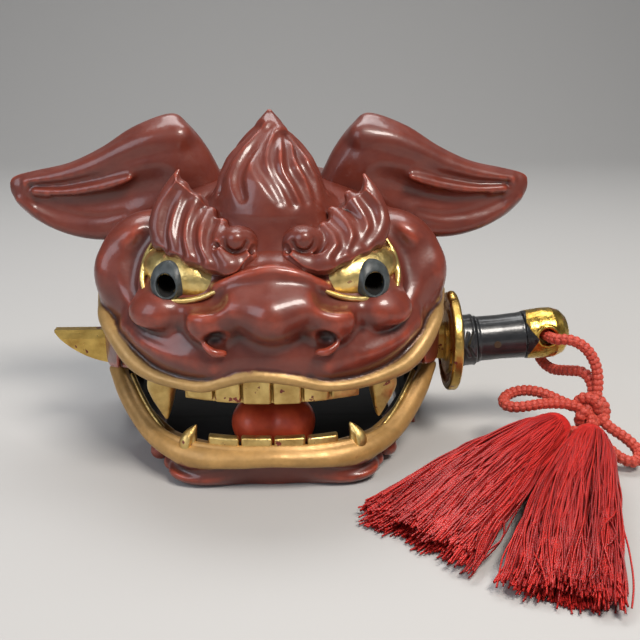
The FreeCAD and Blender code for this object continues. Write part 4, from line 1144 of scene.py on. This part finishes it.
def make_collar():
    clay = Clay((-1, -14, -14), (10, 14, 14), 0.35)
    clay.add(round_form([(0.2, 0.0), (0.2, 10.9), (0.9, 11.9), (2.0, 12.1), (3.4, 11.7), (6.6, 11.6),
                         (7.6, 11.9), (8.4, 11.3), (8.5, 0.0)]), 0.4)
    for start in (1.9, 4.6):
        for turn in (6, 186):
            clay.add(tube(on_hilt([(start + 2.6, turn + 27, 0.4), (start + 0.6, turn + 5, 0.75),
                                   (start, turn, 0.8), (start + 0.6, turn - 5, 0.75),
                                   (start + 2.6, turn - 27, 0.4)], 11.8)), 0.8)
    collar = cast(clay, "black_collar")
    paint_hollows(collar)
    return place(collar, HILT)


def make_grip():
    clay = Clay((7, -12, -12), (33, 12, 12), 0.5)
    clay.add(round_form([(8.5, 0.0), (8.5, 10.6), (9.4, 10.9), (10.4, 10.3), (20.0, 10.15),
                         (29.5, 10.5), (31.0, 10.7), (31.0, 0.0)]), 0.5)
    grip = cast(clay, "black_grip")
    paint_hollows(grip)
    return place(grip, HILT)


def make_pommel():
    clay = Clay((29.5, -14, -14), (54, 14, 14), 0.38)
    clay.add(round_form([(31.0, 0.0), (31.0, 10.8), (33.0, 11.2), (40.0, 11.6), (44.5, 11.4),
                         (48.2, 9.9), (50.6, 7.2), (51.8, 3.8), (52.1, 0.0)]), 0.8)
    hole, hole_z, ring = 40.0, 1.5, 4.7
    for side in (-1, 1):
        clay.add(tube([(hole + ring * math.cos(t), side * (10.9 - 0.5 * abs(math.sin(t))),
                        hole_z + ring * math.sin(t), 0.9)
                       for t in np.linspace(0, 2 * math.pi, 25)], 1), 0.8)
    clay.cut(whole(lambda x, y, z: np.hypot(x - hole, z - hole_z) - 3.7), 0.6)
    pommel = cast(clay, "gilt_pommel")
    paint_hollows(pommel)
    p = coords(pommel)
    around = np.degrees(np.arctan2(p[:, 2], np.abs(p[:, 1])))
    edge = np.interp(around, [-90, -62, -40, -18, 4, 26, 48, 70, 90],
                     [33.0, 32.0, 31.6, 33.4, 36.2, 33.0, 31.4, 32.0, 33.0])
    paint(pommel, "gilt", np.clip((p[:, 0] - edge) * 2.0, -1, 1))
    return place(pommel, HILT)


def pommel_finish():
    """Gilding over black lacquer, with a shaped edge between them."""
    f = Finish("pommel_gilding", "#c9a54d", 0.3, metal=1.0)
    gilt = f.span(f.attribute("gilt"), -0.2, 0.2)
    base = f.blend(f.spots(6.0, 4.0), "#a07c34", "#dcb95c")
    # Painted shade: darker leaf in the creases.
    base = f.blend(f.span(f.attribute("hollow"), 0.05, 0.4), base, "#5c3d16")
    worn = f.span(f.spots(4.5, 5.0, -1.4, 1.2), 0.85, 0.98)
    base = f.blend(worn, base, "#6e2418")
    f.link("Base Color", f.blend(gilt, "#1b1c1e", base))
    f.link("Metallic", f.sums("MULTIPLY", gilt, f.sums("SUBTRACT", 1.0, worn)))
    f.link("Roughness", f.spots(2.5, 4.0, 0.2, 0.36))
    f.relief(gilt, 0.25)
    f.relief(f.spots(2.4, 3.0), 0.10)
    return f.material


settle(make_guard(), "sword", GOLD, "sword_guard", slot="gilding")
settle(make_collar(), "sword", BLACK, "hilt_collar", slot="black_lacquer")
settle(make_grip(), "sword", BLACK, "grip", slot="black_lacquer")
settle(make_pommel(), "sword", pommel_finish(), "pommel", slot="gilding")

# ---- cord ----------------------------------------------------------------
CORD_START = HILT @ Vector((40.0, 0.0, 1.5))
FRONT_ROUTE = (
    (0, 0, 0), (0.3, -14.5, -0.2), (7.5, -19.0, 2.0), (15.0, -19.5, -2.0), (20.0, -20.5, -10.0), (20.5,
            -23.5, -19.5), (18.0, -27.0, -27.5),
    (22.5, -32.0, -34.0), (31.0, -36.0, -38.5), (35.5, -40.5, -43.0), (31.5, -46.5, -45.5), (24.0,
            -44.5, -43.0), (18.5, -38.5, -38.0),
    (13.0, -39.0, -34.0), (10.0, -44.5, -33.5),
)
BACK_ROUTE = (
    (0, 0, 0), (0.3, 14.0, -0.2), (1.5, 16.0, -9.5), (3.0, 9.0, -18.0), (6.0, -1.0, -19.5), (11.0,
            -10.0, -16.5), (16.0, -16.0, -14.5),
    (19.0, -20.0, -18.5), (18.5, -24.5, -25.0), (12.5, -26.5, -28.5), (5.0, -24.0, -26.0), (-3.0, -18.0,
            -23.5), (-10.0, -12.5, -24.5),
    (-17.0, -13.5, -26.0), (-21.0, -18.5, -27.5), (-19.0, -24.5, -28.0), (-12.0, -27.0, -26.5), (-4.5,
            -26.0, -25.5), (4.5, -26.5, -25.5),
    (11.5, -27.5, -26.5), (16.5, -30.5, -30.0), (15.0, -35.0, -34.0), (9.5, -36.5, -35.0), (4.0, -35.3,
            -34.4),
)
KNOT = Vector((139.5, -21.5, 21.0))


def nurbs_line(name, points):
    """The points of an even NURBS line through the route, in metres."""
    curve = bpy.data.curves.new(name, "CURVE")
    curve.dimensions = "3D"
    curve.resolution_u = 16
    spline = curve.splines.new("NURBS")
    spline.points.add(len(points) - 1)
    for p, q in zip(spline.points, points):
        p.co = (*(Vector(q) * MM), 1.0)
    spline.order_u = 3
    spline.use_endpoint_u = True
    holder = bpy.data.objects.new(name, curve)
    bpy.context.scene.collection.objects.link(holder)
    mesh = bpy.data.meshes.new_from_object(holder)
    line = np.array([v.co for v in mesh.vertices])
    bpy.data.objects.remove(holder)
    bpy.data.meshes.remove(mesh)
    return line


def resample(line, step):
    run = np.r_[0, np.cumsum(np.linalg.norm(np.diff(line, axis=0), axis=1))]
    at = np.linspace(0, run[-1], max(int(run[-1] / step), 8) + 1)
    return np.stack([np.interp(at, run, line[:, i]) for i in range(3)], 1), at


def frames(line):
    """Two directions square to the line at each point, without twist."""
    tangent = np.gradient(line, axis=0)
    tangent /= np.linalg.norm(tangent, axis=1)[:, None]
    first = np.cross(tangent[0], (0.3, 0.2, 0.9))
    first /= np.linalg.norm(first)
    rows = [first]
    for t in tangent[1:]:
        n = rows[-1] - t * (rows[-1] @ t)
        rows.append(n / np.linalg.norm(n))
    normal = np.array(rows)
    return tangent, normal, np.cross(tangent, normal)


STRANDS, PLAIT_STEP = 4, 2.5
PLAIT_CORE, PLAIT_WAVE, STRAND_FLAT, STRAND_WIDE = 1.55, 0.32, 0.72, 1.18
STRAND_SIDES = 8


def plait(name, line_mm):
    """Eight-strand round braid along a line, as one mesh."""
    line, at = resample(line_mm, 0.42)
    tangent, normal, binormal = frames(line)
    points, faces, shade, uv = [], [], [], []
    ring = np.arange(STRAND_SIDES) * 2 * np.pi / STRAND_SIDES
    for way in (1, -1):
        for k in range(STRANDS):
            turn = 2 * np.pi * (k + 0.5) / STRANDS + way * 2 * np.pi / STRANDS * at / PLAIT_STEP
            wave = np.cos(np.pi * (2 * at / PLAIT_STEP + k * way + (k + 0.5) + 0.5 * (way - 1))) * PLAIT_WAVE
            out = np.cos(turn)[:, None] * normal + np.sin(turn)[:, None] * binormal
            centre = line + out * (PLAIT_CORE + way * wave)[:, None]
            heading = np.gradient(centre, axis=0)
            heading /= np.linalg.norm(heading, axis=1)[:, None]
            across = np.cross(heading, out)
            across /= np.linalg.norm(across, axis=1)[:, None]
            base = len(points) * STRAND_SIDES * len(line)
            shell = centre[:, None] + (np.cos(ring)[None, :, None] * out[:, None] * STRAND_FLAT
                                       + np.sin(ring)[None, :, None] * across[:, None] * STRAND_WIDE)
            points.append(shell.reshape(-1, 3))
            # Painted light: each strand lighter on its outer face and where it passes over, darker towards
            # the core and where it passes under.
            high = (way * wave / PLAIT_WAVE)[:, None] * 0.25 + 0.35 + 0.4 * np.cos(ring)[None]
            shade.append(np.clip(high, 0, 1).ravel())
            i = np.arange(len(line) - 1)[:, None] * STRAND_SIDES
            j = np.arange(STRAND_SIDES)[None]
            n = (j + 1) % STRAND_SIDES
            faces.append(np.stack([i + j, i + n, i + n + STRAND_SIDES, i + j + STRAND_SIDES],
                                  -1).reshape(-1, 4) + base)
            u = np.stack([j + 0 * i, j + 1 + 0 * i, j + 1 + 0 * i, j + 0 * i], -1) / STRAND_SIDES
            v = np.stack([at[:-1, None] + 0 * j, at[:-1, None] + 0 * j, at[1:, None] + 0 * j,
                          at[1:, None] + 0 * j], -1) / 0.9
            uv.append(np.stack([u, v], -1).reshape(-1, 2))
    obj = make_mesh(name, np.vstack(points), np.vstack(faces))
    add_uv(obj, np.vstack(uv) * 0.628)
    paint(obj, "shade", np.concatenate(shade))
    return obj


def add_uv(obj, uv):
    layer = obj.data.uv_layers.new(name="UVMap")
    layer.data.foreach_set("uv", np.asarray(uv, np.float32).ravel())


def make_cord(name, node, route):
    points = [CORD_START + Vector(p) for p in route]
    line = nurbs_line(name + "_line", points)
    cord = settle(plait(name, line / MM), "sword", CORD, node, slot="cord_silk")
    path, at = resample(line, 0.001)
    return cord, path, at[-1]


front_cord, front_path, front_length = make_cord("silk_cord_front", "cord_right", FRONT_ROUTE)
back_cord, back_path, back_length = make_cord("silk_cord_back", "cord_left", BACK_ROUTE)


def knot_line():
    """A loop that passes round itself three times."""
    t = np.linspace(0, 2 * np.pi, 160)
    x = (2.0 + np.cos(3 * t)) * np.cos(2 * t) * 2.2
    y = np.sin(3 * t) * 2.9
    z = (2.0 + np.cos(3 * t)) * np.sin(2 * t) * 2.4
    return np.stack([KNOT.x + x, KNOT.y - 1.0 + y, KNOT.z + z], 1)


settle(plait("silk_knot", knot_line()), "sword", CORD, "cord_knot", slot="cord_silk")

# ---- tassels -------------------------------------------------------------
TASSELS = {
    "left": ((120.3, -30.0, 15.5), (57.5, -87.5), 1.15),
    "right": ((132.0, -44.5, 16.5), (96.0, -131.0), 0.8),
}
TASSEL_LONG = 90.0
SKIRT = np.array([(-0.09, 2.5, 2.5), (-0.05, 5.5, 5.0), (0.0, 7.6, 7.2), (0.15, 11.6, 9.6),
                  (0.45, 16.0, 9.4), (0.75, 19.5, 7.4), (1.0, 22.0, 4.2), (1.1, 23.0, 3.2)])
THREADS, THREAD_STEPS, THREAD_R = 1400, 24, 0.42
LOCKS, STRAYS = 46, 0.035


def threads(name, lines, radius, tint, sides=3):
    """Many thin three-sided threads as one mesh; lines is threads x steps x 3, in millimetres."""
    count, steps, _ = lines.shape
    tangent = np.gradient(lines, axis=1)
    tangent /= np.maximum(np.linalg.norm(tangent, axis=2), 1e-6)[..., None]
    side = np.cross(tangent, (0.0, 0.0, 1.0))
    side /= np.maximum(np.linalg.norm(side, axis=2), 1e-6)[..., None]
    up = np.cross(side, tangent)
    a = np.arange(sides) * 2 * np.pi / sides + np.pi / 2
    points = lines[:, :, None] + radius * (np.cos(a)[:, None] * side[:, :, None] + np.sin(a)[:,
            None] * up[:, :, None])
    run = np.concatenate([np.zeros((count, 1)), np.cumsum(np.linalg.norm(np.diff(lines, axis=1),
            axis=2), axis=1)], 1) / 1.3
    thread = (np.arange(count) * steps * sides)[:, None, None]
    i = (np.arange(steps - 1) * sides)[None, :, None]
    j = np.arange(sides)[None, None]
    n = (j + 1) % sides
    faces = np.stack([thread + i + j, thread + i + n, thread + i + n + sides, thread + i + j + sides],
                     -1).reshape(-1, 4)
    u = np.broadcast_to((j + 0.0), (count, steps - 1, sides))
    v0, v1 = np.broadcast_to(run[:, :-1, None], u.shape), np.broadcast_to(run[:, 1:, None], u.shape)
    uv = np.stack([np.stack([u, u + 1, u + 1, u], -1) / sides, np.stack([v0, v0, v1, v1], -1)],
                  -1).reshape(-1, 2)
    obj = make_mesh(name, points.reshape(-1, 3), faces)
    add_uv(obj, uv * 0.628)
    paint(obj, "tint", np.repeat(tint, steps * sides))
    return obj


def skirt_lines(head, foot, spread, count, seed):
    local = np.random.default_rng(seed)
    head = np.array(head)
    run = np.array([foot[0] - head[0], foot[1] - head[1], 0.0])
    run /= np.linalg.norm(run)
    side = np.array([-run[1], run[0], 0.0])
    angle = local.uniform(0, 2 * np.pi, count)[:, None]
    angle = angle[np.argsort(angle[:, 0])]
    depth = np.sqrt(local.uniform(0.25, 1.0, count))[:, None]
    lock = np.clip(np.arange(count) * LOCKS // count + local.integers(-1, 2, count), 0, LOCKS - 1)
    lock_long, lock_bend = local.normal(1.0, 0.035, LOCKS), local.normal(0, 1, (LOCKS, 4))
    long = lock_long[lock] * local.normal(1.0, 0.02, count)
    stray = local.uniform(0, 1, (count, 1)) < STRAYS
    share = np.linspace(-0.09, 1.0, THREAD_STEPS)[None] * np.clip(long, 0.8, 1.1)[:, None]
    wide = np.interp(share, SKIRT[:, 0], SKIRT[:, 1]) * (1 + (spread - 1) * np.clip(share, 0, 1))
    tall = np.interp(share, SKIRT[:, 0], SKIRT[:, 2])
    eased = 1 - (1 - np.clip(share, 0, 1)) ** 2
    level = head[2] * (1 - eased) + tall * eased
    drift = local.normal(0, 0.10, (count, 1)) * np.clip(share, 0, 1) ** 1.5
    swirl = angle + drift * 2
    x = np.cos(swirl) * depth * wide * (1 + 0.10 * np.sin(5 * angle) * np.clip(share, 0, 1))
    z = level + np.sin(swirl) * depth * tall
    wave = local.normal(0, 1, (count, 4, 1))
    t = np.clip(share, 0, 1.1)
    loose = np.where(stray, 4.0, 1.0)
    wobble = (wave[:, 0] * np.sin(7 * t + wave[:, 1] * 3) * 0.9 + wave[:,
            2] * np.sin(16 * t + wave[:, 3] * 3) * 0.5) * t * loose
    bend = lock_bend[lock][:, :, None]
    wobble = wobble + (bend[:, 0] * np.sin(5 * t + bend[:, 1] * 2) * 1.9 + bend[:, 2] * t * t * 1.6)
    lift = (np.roll(wave, 1, 0)[:, 0] * np.sin(9 * t + wave[:, 3] * 2)) * 0.7 * t * loose
    lift = lift + np.abs(bend[:, 3]) * np.sin(np.clip(t, 0, 1) * np.pi) * 1.5
    along = share * TASSEL_LONG
    lines = head + run * along[..., None] + side * (x + wobble)[..., None]
    lines[..., 2] = np.maximum(z + lift, 0.45 + 0.5 * local.uniform(0, 1, (count, 1)))
    return lines


def make_skirt(label, seed):
    head, foot, spread = TASSELS[label]
    lines = skirt_lines(head, foot, spread, THREADS, seed)
    tint = np.random.default_rng(seed + 50).uniform(0, 1, THREADS)
    return threads("tassel_threads_" + label, lines, THREAD_R, tint)


def make_tassel_knob(label, seed):
    """Rounded head wound with parallel silk, tapering into the cord."""
    head, foot, spread = TASSELS[label]
    run = Vector((foot[0] - head[0], foot[1] - head[1], 0)).normalized()
    turn = Vector((1, 0, 0)).rotation_difference(run).to_matrix().to_4x4()
    columns = 96
    profile = smooth_line([(-9.0, 2.2, 0), (-8.2, 4.2, 0), (-5.0, 6.8, 0), (-1.0, 7.7, 0),
                           (3.0, 7.2, 0), (6.5, 5.8, 0), (8.0, 3.5, 0)], 5)
    points, faces = [], []
    for i, (x, r, _) in enumerate(profile):
        for j in range(columns):
            a = 2 * math.pi * j / columns
            ridge = r + 0.10 * math.cos(columns / 2 * a)
            points.append((x, ridge * math.cos(a), ridge * 0.93 * math.sin(a)))
    for i in range(len(profile) - 1):
        for j in range(columns):
            n = (j + 1) % columns
            faces.append((i * columns + j, i * columns + n, (i + 1) * columns + n, (i + 1) * columns + j))
    obj = make_mesh("tassel_knob_" + label, np.array(points), faces)
    paint(obj, "tint", np.random.default_rng(seed).uniform(0.3, 0.8, len(points)))
    return place(obj, Matrix.Translation(head) @ turn)


for seed, label in ((11, "left"), (23, "right")):
    settle(make_skirt(label, seed), "sword", TASSEL, "tassel_skirt_" + label, slot="tassel_silk")
    settle(make_tassel_knob(label, seed), "sword", TASSEL, "tassel_head_" + label, slot="tassel_silk")

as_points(front_path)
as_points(back_path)

# ---- what is carried over from the design --------------------------------
CARRIED = {"blade": (GOLD, "gilding"), "guard_washer": (GOLD, "gilding"),
           "hinge_pin_left": (BRASS, "pin_brass"), "hinge_pin_right": (BRASS, "pin_brass"),
           "grip_peg": (BAMBOO, "bamboo")}
for name, (material, slot) in CARRIED.items():
    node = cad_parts[name]
    node.data.materials.clear()
    node.data.materials.append(material)

# ---- studio --------------------------------------------------------------
def make_floor():
    """Pale floor that curves up into a wall behind."""
    profile = [(-3.0, 0.0), (0.9, 0.0)]
    profile += [(0.9 + 0.6 * math.sin(t), 0.6 - 0.6 * math.cos(t))
                for t in np.linspace(0.08, math.pi / 2, 16)]
    profile.append((1.5, 3.0))
    points = [(x / MM, y / MM, z / MM) for x in (-4.0, 4.0) for y, z in profile]
    n = len(profile)
    floor = make_mesh("floor", np.array(points), [(i, i + n, i + n + 1, i + 1) for i in range(n - 1)])
    # Studio paper: pale grey, matt and even, so that it draws no attention.
    floor.data.materials.append(plain("floor_paper", "#b4b3b1", 0.8, grain_mm=4.0, grain_depth=0.0))


def area_light(name, spot, aim, size, power, tint="#ffffff"):
    light = bpy.data.lights.new(name, "AREA")
    light.shape = "RECTANGLE"
    light.size, light.size_y = size
    light.energy = power
    light.color = colour(tint)[:3]
    obj = bpy.data.objects.new(name, light)
    obj.location = spot
    obj.rotation_euler = (Vector(aim) - Vector(spot)).to_track_quat("-Z", "Y").to_euler()
    bpy.context.scene.collection.objects.link(obj)


make_floor()
area_light("key", (0.35, -0.55, 0.95), (0.0, -0.02, 0.06), (0.42, 0.3), 12.0, "#fff8f0")
area_light("fill", (-0.9, -0.7, 0.7), (0.0, 0.0, 0.06), (0.8, 0.8), 6.0, "#eef3ff")
area_light("top", (0.0, 0.45, 1.1), (0.0, 0.0, 0.05), (0.9, 0.5), 8.0)
world = bpy.data.worlds.new("studio")
world.use_nodes = True
world.node_tree.nodes["Background"].inputs[0].default_value = colour("#c8ccd2")
world.node_tree.nodes["Background"].inputs[1].default_value = 0.32
bpy.context.scene.world = world

camera = bpy.data.cameras.new("camera")
camera.lens, camera.sensor_width = 50.0, 36.0
eye = bpy.data.objects.new("camera", camera)
eye.location = (0.0064, -0.3785, 0.1803)
eye.rotation_euler = (math.radians(72.0), 0.0, math.radians(-2.2))
camera.clip_start = 0.01
bpy.context.scene.collection.objects.link(eye)
bpy.context.scene.camera = eye
bpy.context.scene.view_settings.view_transform = "Standard"
